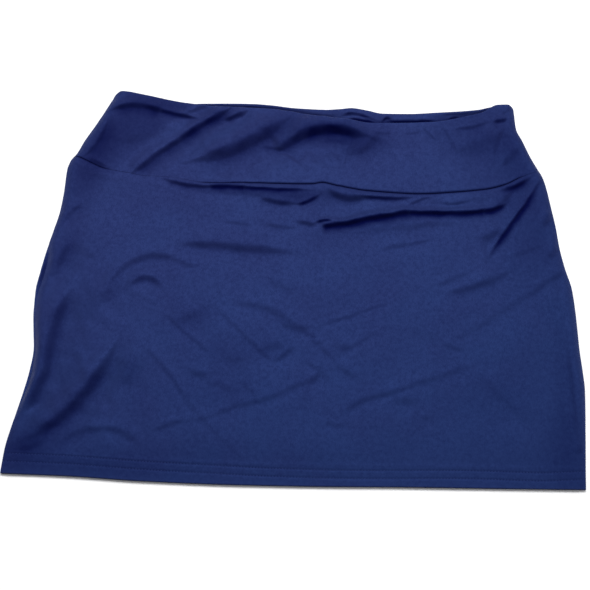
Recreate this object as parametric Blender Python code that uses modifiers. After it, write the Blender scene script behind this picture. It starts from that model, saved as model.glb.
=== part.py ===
"""A pull-on mini skirt of smooth stretch knit, laid flat with its front up.

Four cut pieces: a front and a back panel, each with its hem turned up, and a front
and a back yoke, each folded over at the waist. Each piece is one closed wall of cloth.
The back pieces lie flat on z = 0, and the front pieces lie on them with their folds.

Tables and sizes are in millimetres, and the meshes in metres. +Z is up, the waist
lies towards +Y, and the origin is at the middle of the box round the skirt, on its
underside.
"""
from collections import namedtuple

import bmesh
import bpy
import numpy as np

METRES_PER_MM = 0.001

# Cloth and make-up, in millimetres
CLOTH_WALL = 1.1
HEM_WALL = 1.6
YOKE_WALL = 1.6
HEM_DEPTH = 17.0
PLY_GAP = 0.3
SEAM_GAP = 0.3
MOST_LIFT = 3.5

# How high the front lies over the back, away from its folds
SPREAD_LIFT = 1.7
HEM_LIFT_SHARE = 0.25
SIDE_ROLL = 9.0
HEM_ROLL = 26.0
FLOOR_SOFTNESS = 0.5

# Where one thickness of the back passes into the next
STEP_RUN = 7.0

# Seam between yoke and skirt: a narrow groove, and the fullness just under it
SEAM_GROOVE = 0.7
SEAM_GROOVE_SPREAD = 2.6
SEAM_FULLNESS = 0.6
SEAM_FULLNESS_DROP = 9.0
SEAM_FULLNESS_SPREAD = 5.0

# The back's left side shows past the front's, deepest at this height
PEEK_MIDDLE = -20.0
PEEK_HALF_LENGTH = 44.0
PEEK_DEPTH = 2.8

# The meshes: cells across and up, and the share of them that thinning keeps
Mesh = namedtuple("Mesh", "columns rows share")
SKIRT_FRONT_MESH = Mesh(132, 78, 0.235)
YOKE_FRONT_MESH = Mesh(108, 24, 0.34)
SKIRT_BACK_MESH = Mesh(26, 24, 1.0)
YOKE_BACK_MESH = Mesh(52, 5, 1.0)

OUTLINE_PASSES = 10
FOLD_STEPS = 14
FOLD_END_TAPER = 0.22

# Side sections from hem to waist
Section = namedtuple("Section", "height left right")
SECTIONS = (
    Section(-169.0, -231.3, 228.6),
    Section(-150.0, -229.9, 229.1),
    Section(-125.0, -225.2, 230.1),
    Section(-101.0, -219.9, 231.0),
    Section(-84.0, -216.8, 231.3),
    Section(-67.0, -215.2, 230.0),
    Section(-50.0, -216.9, 228.2),
    Section(-33.0, -218.5, 227.2),
    Section(-16.0, -218.7, 226.0),
    Section(2.0, -216.3, 224.0),
    Section(20.0, -213.0, 219.0),
    Section(38.0, -208.9, 215.0),
    Section(57.0, -204.8, 212.4),
    Section(76.0, -203.1, 208.8),
    Section(94.0, -202.3, 205.0),
    Section(103.0, -199.9, 202.2),
    Section(110.0, -195.2, 198.4),
    Section(122.0, -189.8, 192.2),
    Section(136.0, -182.2, 186.2),
    Section(148.0, -176.0, 180.8),
    Section(160.0, -170.9, 178.3),
    Section(170.0, -166.6, 175.6),
)

# Edges and seams that run across the skirt
Across = namedtuple("Across", "x y")
HEM_EDGE = (
    Across(-231.3, -168.7),
    Across(-186.0, -168.9),
    Across(-120.0, -171.0),
    Across(-65.0, -171.5),
    Across(0.0, -170.8),
    Across(89.0, -168.5),
    Across(176.0, -166.8),
    Across(228.6, -165.6),
)
FRONT_SEAM = (
    Across(-198.0, 106.5),
    Across(-166.0, 96.2),
    Across(-137.0, 91.8),
    Across(-102.0, 89.5),
    Across(-86.0, 87.6),
    Across(-40.0, 88.1),
    Across(0.0, 88.8),
    Across(14.6, 90.2),
    Across(29.0, 87.4),
    Across(50.0, 84.0),
    Across(90.0, 82.3),
    Across(127.0, 85.1),
    Across(154.0, 89.0),
    Across(170.0, 94.4),
    Across(185.0, 102.2),
    Across(200.3, 108.0),
)
BACK_SEAM = (
    Across(-198.0, 106.0),
    Across(-130.0, 93.0),
    Across(0.0, 86.0),
    Across(130.0, 92.0),
    Across(200.3, 107.0),
)
FRONT_WAIST = (
    Across(-165.8, 170.9),
    Across(-157.0, 171.2),
    Across(-144.0, 168.9),
    Across(-119.0, 164.0),
    Across(-104.0, 161.0),
    Across(-90.0, 159.3),
    Across(-67.0, 157.4),
    Across(-19.0, 155.3),
    Across(11.0, 153.4),
    Across(37.0, 150.8),
    Across(63.0, 148.9),
    Across(80.0, 149.0),
    Across(98.0, 150.2),
    Across(119.0, 154.9),
    Across(150.0, 162.9),
    Across(166.0, 169.6),
    Across(174.5, 171.2),
)
BACK_WAIST = (
    Across(-165.8, 170.2),
    Across(-144.0, 167.6),
    Across(-107.0, 160.6),
    Across(-94.0, 160.9),
    Across(-46.0, 162.4),
    Across(-9.7, 160.5),
    Across(14.5, 159.5),
    Across(37.0, 162.4),
    Across(52.0, 159.8),
    Across(75.0, 158.4),
    Across(111.0, 160.4),
    Across(148.0, 164.8),
    Across(162.0, 168.6),
    Across(174.5, 171.5),
)

# Folds of the front: an arc through three places, the spread to each side, and the
# rise of its middle over the cloth beside it, below nought for a trough
Fold = namedtuple("Fold", "start_x start_y middle_x middle_y end_x end_y spread rise")
YOKE_FOLDS = (
    Fold(-165, 152, -128, 151, -92, 154, 6.0, -1.1),
    Fold(-166, 138, -176, 119, -189, 104, 6.0, -1.2),
    Fold(-84, 156, -118, 131, -158, 98, 8.0, 1.1),
    Fold(-68, 156, -106, 129, -148, 96, 4.0, -1.3),
    Fold(-40, 156, -85, 126, -130, 97, 9.0, 1.0),
    Fold(-16, 152, -56, 127, -98, 105, 6.0, -1.2),
    Fold(50, 139, 20, 142, -10, 137, 8.0, -1.6),
    Fold(-9, 137, -15, 125, -31, 119, 6.0, -1.2),
    Fold(20, 129, 43, 130, 56, 142, 5.0, 0.9),
    Fold(25, 122, 44, 120, 60, 134, 3.8, -0.9),
    Fold(-60, 101, 0, 102, 44, 104, 11.0, 0.9),
    Fold(-80, 150, -60, 149, -36, 155, 5.0, 0.9),
    Fold(60, 116, 90, 108, 120, 106, 12.0, 0.7),
    Fold(102, 145, 107, 137, 113, 128, 5.0, -0.6),
    Fold(116, 148, 121, 134, 128, 118, 5.5, -1.1),
    Fold(128, 144, 144, 145, 160, 158, 5.5, -1.0),
    Fold(168, 147, 164, 134, 158, 120, 5.5, -0.9),
    Fold(142, 136, 146, 122, 152, 108, 7.0, 0.8),
    Fold(175, 128, 181, 130, 188, 134, 4.5, -0.7),
)
SKIRT_FOLDS = (
    Fold(-125, 85, -63, 79, 2, 82, 5.0, -1.4),
    Fold(12, 83, -5, 68, -34, 73, 4.5, -1.1),
    Fold(17, 83, 45, 75, 82, 78, 4.5, -1.3),
    Fold(18, 64, 80, 71, 152, 76, 5.5, 1.5),
    Fold(-6, 54, 28, 51, 66, 58, 5.0, -1.8),
    Fold(64, 58, 105, 64, 150, 67, 4.6, -2.0),
    Fold(148, 67, 163, 73, 173, 84, 4.2, -1.6),
    Fold(4, 42, 74, 47, 140, 54, 9.0, 0.9),
    Fold(204, 101, 184, 67, 147, 22, 5.0, -1.8),
    Fold(171, 76, 160, 55, 142, 34, 6.5, 1.2),
    Fold(207, 76, 192, 52, 170, 28, 7.5, 1.0),
    Fold(165, 92, 183, 93, 198, 101, 4.4, -1.4),
    Fold(-105, 31, -55, 30, -1, 26, 6.5, -1.1),
    Fold(-151, -4, -143, 12, -121, 17, 4.5, -1.0),
    Fold(-123, 17, -106, 17, -90, 10, 4.5, -0.9),
    Fold(-141, -11, -128, 1, -109, -13, 4.2, -0.7),
    Fold(-160, -28, -154, -14, -144, -8, 5.0, -0.7),
    Fold(-196, 30, -201, 16, -208, -2, 6.0, -0.8),
    Fold(-190, -14, -200, -46, -202, -82, 6.0, -1.7),
    Fold(-202, -80, -207, -98, -219, -124, 5.0, -1.5),
    Fold(-178, -18, -186, -54, -188, -92, 9.0, 1.2),
    Fold(-144, -57, -163, -86, -180, -114, 6.5, -1.8),
    Fold(-179, -113, -198, -133, -224, -158, 6.5, -1.5),
    Fold(-127, -62, -148, -94, -166, -120, 8.0, 1.1),
    Fold(-185, -148, -157, -118, -124, -145, 6.0, -1.2),
    Fold(-132, -68, -138, -81, -144, -95, 6.0, -0.6),
    Fold(-127, -59, -103, -83, -78, -108, 4.2, -0.9),
    Fold(-79, -107, -56, -132, -31, -163, 4.2, -0.9),
    Fold(-111, -34, -96, -42, -78, -24, 4.5, -0.7),
    Fold(-68, -28, -46, -50, -20, -70, 4.5, -1.2),
    Fold(-22, -70, -12, -67, -5, -54, 4.5, -1.0),
    Fold(-65, -26, -28, -19, 13, -41, 4.5, -1.1),
    Fold(11, -39, 38, -30, 74, -16, 4.0, -0.7),
    Fold(-82, -55, -70, -66, -47, -70, 4.5, -0.7),
    Fold(-101, -73, -80, -83, -62, -90, 5.0, -0.7),
    Fold(-74, -118, -22, -104, 14, -76, 5.0, -1.1),
    Fold(-121, -130, -104, -126, -88, -121, 4.5, -0.6),
    Fold(31, -114, 66, -94, 107, -80, 5.0, -1.3),
    Fold(105, -81, 126, -72, 147, -66, 5.0, -1.0),
    Fold(149, -75, 166, -100, 188, -120, 6.0, -0.8),
    Fold(10, -51, 22, -66, 38, -53, 6.0, -0.8),
    Fold(60, 30, 80, 34, 99, 40, 5.0, -0.6),
    Fold(117, -6, 146, 1, 175, 18, 5.0, -1.2),
    Fold(114, 5, 126, 10, 140, 15, 4.4, -0.8),
    Fold(179, -9, 199, 3, 215, 15, 5.0, -0.9),
    Fold(129, -47, 154, -36, 175, -15, 6.0, -0.9),
    Fold(82, -38, 106, -42, 131, -57, 6.0, -0.8),
    Fold(173, 28, 190, 37, 212, 47, 5.0, -0.7),
    Fold(214, -26, 217, -84, 226, -139, 6.0, -1.0),
)
FOLDS = YOKE_FOLDS + SKIRT_FOLDS

# Finish, from the photo: a deep navy knit with a low satin sheen
Finish = namedtuple("Finish", "colour_srgb roughness sheen")
NAVY_KNIT = Finish((37, 50, 98), 0.62, 0.25)


def clear_scene():
    """Remove what the scene holds."""
    for thing in list(bpy.data.objects):
        bpy.data.objects.remove(thing)


def curve_through(rows, place, value):
    """A smooth curve through two columns of a table, never past their extremes."""
    places = np.array([getattr(row, place) for row in rows])
    values = np.array([getattr(row, value) for row in rows])
    steps = np.diff(places)
    slopes = np.diff(values) / steps
    product = slopes[:-1] * slopes[1:]
    same_way = product > 0
    total = np.where(same_way, slopes[:-1] + slopes[1:], 1.0)
    inner = np.where(same_way, 2 * product / total, 0.0)
    tangents = np.concatenate((slopes[:1], inner, slopes[-1:]))

    def at(where):
        where = np.clip(where, places[0], places[-1])
        i = np.clip(np.searchsorted(places, where) - 1, 0, len(steps) - 1)
        t = (where - places[i]) / steps[i]
        start = (1 + 2 * t) * (1 - t) ** 2 * values[i]
        end = t * t * (3 - 2 * t) * values[i + 1]
        bends = t * (1 - t) ** 2 * tangents[i] - t * t * (1 - t) * tangents[i + 1]
        return start + end + steps[i] * bends

    return at


left_side = curve_through(SECTIONS, "height", "left")
right_side = curve_through(SECTIONS, "height", "right")
hem_edge = curve_through(HEM_EDGE, "x", "y")
front_seam = curve_through(FRONT_SEAM, "x", "y")
back_seam = curve_through(BACK_SEAM, "x", "y")
front_waist = curve_through(FRONT_WAIST, "x", "y")
back_waist = curve_through(BACK_WAIST, "x", "y")


def front_left_side(y):
    """The front's left side, drawn in where the back shows past it."""
    reach = np.clip(1 - ((y - PEEK_MIDDLE) / PEEK_HALF_LENGTH) ** 2, 0, None)
    return left_side(y) + PEEK_DEPTH * reach


def ease(share):
    """A smooth step from 0 to 1."""
    share = np.clip(share, 0, 1)
    return share * share * (3 - 2 * share)


def bell(distance, spread):
    """A smooth hump, 1 at its middle."""
    return np.exp(-((distance / spread) ** 2))


def fold_relief(fold, x, y):
    """Rise of one fold at each point, tapered towards its two ends."""
    t = np.linspace(0, 1, FOLD_STEPS + 1)
    before, after = (1 - t) * (1 - 2 * t), t * (2 * t - 1)
    between = 4 * t * (1 - t)
    line_x = before * fold.start_x + between * fold.middle_x + after * fold.end_x
    line_y = before * fold.start_y + between * fold.middle_y + after * fold.end_y
    nearest = np.full(x.shape, np.inf)
    share = np.zeros(x.shape)
    for i in range(FOLD_STEPS):
        run_x, run_y = line_x[i + 1] - line_x[i], line_y[i + 1] - line_y[i]
        along = (x - line_x[i]) * run_x + (y - line_y[i]) * run_y
        along = np.clip(along / (run_x**2 + run_y**2), 0, 1)
        off = np.hypot(x - line_x[i] - along * run_x, y - line_y[i] - along * run_y)
        closer = off < nearest
        nearest = np.where(closer, off, nearest)
        share = np.where(closer, (i + along) / FOLD_STEPS, share)
    from_end = np.minimum(share, 1 - share)
    strength = 0.35 + 0.65 * ease(from_end / FOLD_END_TAPER)
    return fold.rise * strength * bell(nearest, fold.spread)


def back_top(x, y):
    """Height of the back's upper face, or a little over it where it steps."""
    into_yoke = ease((y - back_seam(x) + 2 * STEP_RUN) / STEP_RUN)
    into_hem = ease((hem_edge(x) + HEM_DEPTH + 2 * STEP_RUN - y) / STEP_RUN)
    extra = (YOKE_WALL - CLOTH_WALL) * into_yoke + (HEM_WALL - CLOTH_WALL) * into_hem
    return CLOTH_WALL + extra


def seam_relief(x, y):
    """The groove at the yoke seam, and the fullness of the skirt under it."""
    below = front_seam(x) - y
    groove = -SEAM_GROOVE * bell(below, SEAM_GROOVE_SPREAD)
    return groove + SEAM_FULLNESS * bell(below - SEAM_FULLNESS_DROP, SEAM_FULLNESS_SPREAD)


def lift(x, y):
    """Clear height between the back and the front."""
    folds = sum(fold_relief(fold, x, y) for fold in FOLDS)
    open_lift = SPREAD_LIFT + folds + seam_relief(x, y)
    from_side = np.minimum(x - front_left_side(y), right_side(y) - x)
    rolled = ease(0.5 + 0.5 * from_side / SIDE_ROLL) * 2 - 1
    from_hem = ease((y - hem_edge(x)) / HEM_ROLL)
    near_hem = HEM_LIFT_SHARE + (1 - HEM_LIFT_SHARE) * from_hem
    wanted = open_lift * np.clip(rolled, 0, 1) * near_hem
    raised = 0.5 * (wanted + np.hypot(wanted, FLOOR_SOFTNESS)) - 0.5 * FLOOR_SOFTNESS
    return np.clip(raised, 0, MOST_LIFT)


def front_underside(x, y):
    """Height of the front's lower face."""
    return back_top(x, y) + PLY_GAP + lift(x, y)


def skirt_wall(x, y):
    """Thickness of a skirt panel: double in its hem, single above it."""
    into_hem = ease((hem_edge(x) + HEM_DEPTH - y) / 2 + 0.5)
    return CLOTH_WALL + (HEM_WALL - CLOTH_WALL) * into_hem


def yoke_wall(x, y):
    """Thickness of a yoke, which is folded over at the waist."""
    return np.full(x.shape, YOKE_WALL)


def outline_points(across, up, left, right, low, high):
    """Points of a panel from shares of its width and height."""
    x = left(low(0 * across)) * (1 - across) + right(low(0 * across)) * across
    for _ in range(OUTLINE_PASSES):
        y = low(x) * (1 - up) + high(x) * up
        x = left(y) * (1 - across) + right(y) * across
    return x, y


def knit(name):
    """A smooth navy knit, one material for each piece."""
    material = bpy.data.materials.new(name)
    material.use_nodes = True
    shader = material.node_tree.nodes["Principled BSDF"]
    linear = [((c / 255 + 0.055) / 1.055) ** 2.4 for c in NAVY_KNIT.colour_srgb]
    shader.inputs["Base Color"].default_value = (*linear, 1)
    shader.inputs["Roughness"].default_value = NAVY_KNIT.roughness
    shader.inputs["Metallic"].default_value = 0
    shader.inputs["Sheen Weight"].default_value = NAVY_KNIT.sheen
    return material


def cut_panel(name, mesh, sides, edges, wall, face_up, group):
    """Lay a grid into a panel's outline, thin it where it is flat, and give it its wall.

    A front panel's grid is its upper face, and its wall grows down from it. A back
    panel's grid is its underside on the floor, and its wall grows up.
    """
    sheet = bmesh.new()
    bmesh.ops.create_grid(sheet, x_segments=mesh.columns, y_segments=mesh.rows, size=0.5)
    across = np.array([vertex.co.x + 0.5 for vertex in sheet.verts])
    up = np.array([vertex.co.y + 0.5 for vertex in sheet.verts])
    x, y = outline_points(across, up, *sides, *edges)
    thickness = wall(x, y)
    z = front_underside(x, y) + thickness if face_up else np.zeros(x.shape)
    for vertex, place in zip(sheet.verts, np.stack((x, y, z), axis=1)):
        vertex.co = place * METRES_PER_MM
    bmesh.ops.triangulate(sheet, faces=sheet.faces)
    data = bpy.data.meshes.new(name)
    sheet.to_mesh(data)
    sheet.free()
    data.materials.append(knit(name))
    data.shade_smooth()

    panel = bpy.data.objects.new(name, data)
    group.objects.link(panel)
    weights = panel.vertex_groups.new(name="wall")
    most = float(thickness.max())
    for index, value in enumerate(thickness):
        weights.add([index], float(value) / most, "REPLACE")
    if mesh.share < 1:
        thin = panel.modifiers.new("thin the flat cloth", "DECIMATE")
        thin.ratio = mesh.share
    solid = panel.modifiers.new("wall", "SOLIDIFY")
    solid.thickness = most * METRES_PER_MM
    solid.offset = -1 if face_up else 1
    solid.vertex_group = "wall"
    solid.use_even_offset = False
    return panel


def build():
    """Cut and lay the four pieces."""
    clear_scene()
    group = bpy.data.collections.new("mini_skirt")
    bpy.context.scene.collection.children.link(group)

    back_sides = (left_side, right_side)
    front_sides = (front_left_side, right_side)

    def under(seam):
        return lambda x: seam(x) - SEAM_GAP / 2

    def over(seam):
        return lambda x: seam(x) + SEAM_GAP / 2

    cut_panel("skirt_back", SKIRT_BACK_MESH, back_sides, (hem_edge, under(back_seam)),
              skirt_wall, False, group)
    cut_panel("yoke_back", YOKE_BACK_MESH, back_sides, (over(back_seam), back_waist),
              yoke_wall, False, group)
    cut_panel("skirt_front", SKIRT_FRONT_MESH, front_sides, (hem_edge, under(front_seam)),
              skirt_wall, True, group)
    cut_panel("yoke_front", YOKE_FRONT_MESH, front_sides, (over(front_seam), front_waist),
              yoke_wall, True, group)


build()
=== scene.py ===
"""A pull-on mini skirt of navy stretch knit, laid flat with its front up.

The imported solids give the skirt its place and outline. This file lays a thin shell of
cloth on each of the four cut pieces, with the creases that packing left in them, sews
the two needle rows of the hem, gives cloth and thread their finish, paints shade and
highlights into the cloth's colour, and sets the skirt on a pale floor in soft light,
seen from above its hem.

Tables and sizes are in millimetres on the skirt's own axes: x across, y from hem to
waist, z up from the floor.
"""

from __future__ import annotations

import logging
import math
from dataclasses import dataclass, field
from enum import Enum
from typing import Callable, Sequence

import bpy
import numpy as np
from mathutils import Matrix, Vector


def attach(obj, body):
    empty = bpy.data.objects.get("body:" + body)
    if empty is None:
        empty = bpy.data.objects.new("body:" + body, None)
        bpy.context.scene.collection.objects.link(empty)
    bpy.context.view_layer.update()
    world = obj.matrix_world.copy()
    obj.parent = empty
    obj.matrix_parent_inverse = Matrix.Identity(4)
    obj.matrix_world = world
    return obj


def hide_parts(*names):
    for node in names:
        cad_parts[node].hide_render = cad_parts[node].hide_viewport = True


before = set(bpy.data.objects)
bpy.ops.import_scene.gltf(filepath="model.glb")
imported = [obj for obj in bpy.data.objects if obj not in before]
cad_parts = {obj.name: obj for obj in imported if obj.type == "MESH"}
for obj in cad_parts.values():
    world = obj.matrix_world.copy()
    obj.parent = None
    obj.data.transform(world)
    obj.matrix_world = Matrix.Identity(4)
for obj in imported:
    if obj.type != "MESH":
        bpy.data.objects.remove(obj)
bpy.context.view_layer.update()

LOG = logging.getLogger("mini_skirt")
METRES_PER_MM = 0.001

Values = np.ndarray
Curve = Callable[[Values], Values]
Surface = Callable[[Values, Values], Values]
Socket = bpy.types.NodeSocket


# --------------------------------------------------------------------------------------
# Sizes
# --------------------------------------------------------------------------------------


class Ply(Enum):
    """Which side of the tube a piece belongs to."""

    FRONT = "front"
    BACK = "back"


@dataclass(frozen=True)
class Cloth:
    """Thicknesses and gaps of the laid cloth.

    Args:
        single: one thickness of knit.
        hem: the turned-up hem, two thicknesses.
        yoke: a folded yoke, two thicknesses.
        ply_gap: clearance between front and back where they touch.
        hem_depth: height of the turned-up hem.
        hem_step: how far the hem's upper edge shows through the face.
        edge_width: width over which a folded edge is rounded.
        edge_share: share of the cloth's half thickness that the rounding takes.
        hem_fade: width over which the hem's second thickness ends.
        seam_width: width over which a cloth's edge turns down into a fully drawn seam.
        seam_least: share of that width where the seam isn't drawn in at all.
        tuck_least: share of the half thickness that the edge turns down there.
        tuck_drawn: what a fully drawn seam adds to that share.
    """

    single: float = 0.75
    hem: float = 1.25
    yoke: float = 1.3
    ply_gap: float = 0.12
    hem_depth: float = 17.0
    hem_step: float = 0.14
    edge_width: float = 0.8
    edge_share: float = 0.92
    hem_fade: float = 1.6
    seam_width: float = 0.6
    seam_least: float = 0.2
    tuck_least: float = 0.1
    tuck_drawn: float = 0.7


@dataclass(frozen=True)
class Stitching:
    """Sizes of the two needle rows that hold a hem up.

    Args:
        gauge: distance between the rows.
        pitch: distance from hole to hole.
        thread_length: length of the thread that shows between two holes.
        thread_width: its width.
        thread_dive: how far its ends dive into the cloth.
        thread_stand: share of its width by which its middle stands off the cloth.
        side_gap: how far in from the skirt's sides the rows stop.
        groove: depth of the groove that a row pulls into the cloth.
        groove_spread: reach of that groove to each side.
        hole_half_width: half the width of a needle hole.
        hole_half_height: half its height.
        hole_shade: how strongly a hole is dented and painted in shade, over the line of its row.
        row_shade: how strongly that line is.
    """

    gauge: float = 6.4
    pitch: float = 2.5
    thread_length: float = 1.75
    thread_width: float = 0.36
    thread_dive: float = 0.22
    thread_stand: float = 0.1
    side_gap: float = 1.6
    groove: float = 0.16
    groove_spread: float = 0.8
    hole_half_width: float = 0.42
    hole_half_height: float = 0.8
    hole_shade: float = 0.6
    row_shade: float = 0.3


CLOTH = Cloth()
STITCHING = Stitching()


@dataclass(frozen=True)
class Section:
    """Left and right side of the skirt at one height."""

    height: float
    left: float
    right: float


@dataclass(frozen=True)
class Across:
    """One place on an edge or seam that runs across the skirt."""

    x: float
    y: float


@dataclass(frozen=True)
class Show:
    """How far or how clearly something shows along a side at one height."""

    height: float
    depth: float


@dataclass(frozen=True)
class Draw:
    """How hard a seam is drawn in, or how clearly sewing shows, at one place, from 0 to 1."""

    x: float
    pull: float


class Join(Enum):
    """Which ends of a fold run on into another fold."""

    FREE = "neither"
    START = "start"
    END = "end"
    BOTH = "both"


@dataclass(frozen=True)
class Fold:
    """One crease: an arc through three places, where the cloth drops to a lower level.

    Args:
        start_x: where the arc starts, across.
        start_y: where the arc starts, up the skirt.
        middle_x: a place halfway along, across.
        middle_y: a place halfway along, up the skirt.
        end_x: where the arc ends, across.
        end_y: where the arc ends, up the skirt.
        run: half the width of the sloping cloth.
        drop: how far it drops, to the right of the arc as it runs, or below nought for
            a drop to the left.
        soft: how much softer its painted shade is on its low side, from nought up,
        or below nought on its high side.
        join: which ends run on into another fold, where others taper off.
    """

    start_x: float
    start_y: float
    middle_x: float
    middle_y: float
    end_x: float
    end_y: float
    run: float
    drop: float
    soft: float = 0.0
    join: Join = Join.FREE


@dataclass(frozen=True)
class PaintedPatch:
    """A soft-edged area of painted shade on the cloth's face, or of painted highlight.

    Args:
        x: its middle, across.
        y: its middle, up the skirt.
        half_width: reach across.
        half_height: reach up and down.
        turn: degrees that it is turned, anticlockwise.
        depth: how strong its painted shade is, from 0 to 1, or below nought its painted highlight.
    """

    x: float
    y: float
    half_width: float
    half_height: float
    turn: float
    depth: float


# The sides, from hem to waist
SECTIONS = (
    Section(-169.0, -231.3, 228.6),
    Section(-150.0, -229.9, 229.1),
    Section(-125.0, -225.2, 230.1),
    Section(-101.0, -219.9, 231.0),
    Section(-84.0, -216.8, 231.3),
    Section(-67.0, -215.2, 230.0),
    Section(-50.0, -216.9, 228.2),
    Section(-33.0, -218.5, 227.2),
    Section(-16.0, -218.7, 226.0),
    Section(2.0, -216.3, 224.0),
    Section(20.0, -213.0, 219.0),
    Section(38.0, -208.9, 215.0),
    Section(57.0, -204.8, 212.4),
    Section(76.0, -203.1, 208.8),
    Section(94.0, -202.3, 205.0),
    Section(103.0, -199.9, 202.2),
    Section(110.0, -195.2, 198.4),
    Section(122.0, -189.8, 192.2),
    Section(136.0, -182.2, 186.2),
    Section(148.0, -176.0, 180.8),
    Section(157.0, -171.6, 179.8),
    Section(164.0, -168.2, 179.2),
    Section(172.0, -165.2, 178.4),
)

# Edges and seams that run across, from left to right
HEM_EDGE = (
    Across(-231.3, -168.7),
    Across(-186.0, -168.9),
    Across(-120.0, -171.0),
    Across(-65.0, -171.5),
    Across(0.0, -170.8),
    Across(89.0, -168.5),
    Across(176.0, -166.8),
    Across(228.6, -165.6),
)
FRONT_SEAM = (
    Across(-198.0, 107.4),
    Across(-190.5, 104.8),
    Across(-182.0, 101.0),
    Across(-169.5, 95.9),
    Across(-150.5, 92.6),
    Across(-134.0, 90.6),
    Across(-115.5, 89.8),
    Across(-104.0, 88.6),
    Across(-94.0, 86.6),
    Across(-84.0, 85.8),
    Across(-74.0, 86.0),
    Across(-54.0, 87.2),
    Across(-14.0, 87.6),
    Across(6.6, 88.4),
    Across(14.6, 89.8),
    Across(29.0, 87.0),
    Across(50.0, 83.8),
    Across(90.0, 82.3),
    Across(127.0, 85.1),
    Across(154.0, 89.0),
    Across(170.0, 93.8),
    Across(185.0, 101.8),
    Across(200.3, 108.0),
)
BACK_SEAM = (
    Across(-198.0, 106.0),
    Across(-130.0, 93.0),
    Across(0.0, 86.0),
    Across(130.0, 92.0),
    Across(200.3, 107.0),
)
FRONT_WAIST = (
    Across(-166.5, 170.6),
    Across(-157.0, 170.2),
    Across(-144.0, 168.0),
    Across(-119.0, 163.1),
    Across(-104.0, 160.6),
    Across(-89.0, 158.8),
    Across(-74.0, 158.3),
    Across(-52.0, 158.4),
    Across(-31.0, 158.0),
    Across(-18.0, 156.6),
    Across(-5.0, 154.2),
    Across(12.0, 151.2),
    Across(34.0, 149.2),
    Across(57.0, 147.9),
    Across(75.0, 148.5),
    Across(99.0, 150.0),
    Across(116.0, 151.8),
    Across(125.0, 154.0),
    Across(138.0, 157.4),
    Across(151.0, 161.6),
    Across(165.0, 169.6),
    Across(178.5, 170.4),
)
BACK_WAIST = (
    Across(-166.5, 169.6),
    Across(-144.0, 167.0),
    Across(-107.0, 160.9),
    Across(-98.0, 161.3),
    Across(-92.0, 161.8),
    Across(-46.0, 163.3),
    Across(-31.0, 162.6),
    Across(-9.7, 160.6),
    Across(14.5, 160.1),
    Across(28.0, 161.3),
    Across(39.0, 162.7),
    Across(52.0, 160.9),
    Across(65.0, 158.4),
    Across(88.0, 158.9),
    Across(111.0, 161.0),
    Across(148.0, 165.2),
    Across(162.0, 169.0),
    Across(178.5, 170.5),
)

# How far the back shows past the front's left side
BACK_SHOWS = (
    Show(-126.0, 0.0),
    Show(-114.0, 0.9),
    Show(-90.0, 2.2),
    Show(-70.0, 1.2),
    Show(-46.0, 1.2),
    Show(-26.0, 1.4),
    Show(-16.0, 2.7),
    Show(-6.0, 4.0),
    Show(6.0, 4.1),
    Show(14.0, 3.1),
    Show(21.0, 1.3),
    Show(27.0, 0.0),
)

# How strongly a painted highlight shows on the rolled cloth beside each side
LEFT_RIM = (
    Show(-169.0, 0.15),
    Show(-120.0, 0.25),
    Show(-70.0, 0.2),
    Show(-20.0, 0.7),
    Show(60.0, 0.8),
    Show(110.0, 1.0),
    Show(172.0, 1.0),
)
RIGHT_RIM = (
    Show(-169.0, 0.0),
    Show(-130.0, 0.2),
    Show(-90.0, 0.6),
    Show(172.0, 0.6),
)

# How hard the yoke seam is drawn in, which also sets its painted shade
SEAM_DRAW = (
    Draw(-198.0, 0.5),
    Draw(-190.0, 0.85),
    Draw(-174.0, 0.8),
    Draw(-163.0, 0.12),
    Draw(-104.0, 0.03),
    Draw(-92.0, 0.12),
    Draw(-84.0, 0.55),
    Draw(-50.0, 0.9),
    Draw(15.0, 1.0),
    Draw(165.0, 1.0),
    Draw(180.0, 0.85),
    Draw(187.0, 0.2),
    Draw(200.0, 0.05),
)

# The lower needle row's height over the hem's edge. The upper row is a gauge above it
LOWER_NEEDLE_ROW = (
    Across(-231.3, 9.6),
    Across(-150.0, 9.2),
    Across(-73.0, 8.4),
    Across(-10.0, 7.0),
    Across(60.0, 6.2),
    Across(139.0, 7.2),
    Across(194.0, 6.3),
    Across(231.3, 8.0),
)

# How clearly the needle rows show, as dents and painted shade
ROWS_SHOW = (
    Draw(-231.0, 1.0),
    Draw(-160.0, 0.8),
    Draw(-110.0, 1.0),
    Draw(-66.0, 0.5),
    Draw(-32.0, 0.85),
    Draw(10.0, 0.5),
    Draw(80.0, 0.4),
    Draw(130.0, 0.65),
    Draw(190.0, 0.8),
    Draw(229.0, 0.75),
)

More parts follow.
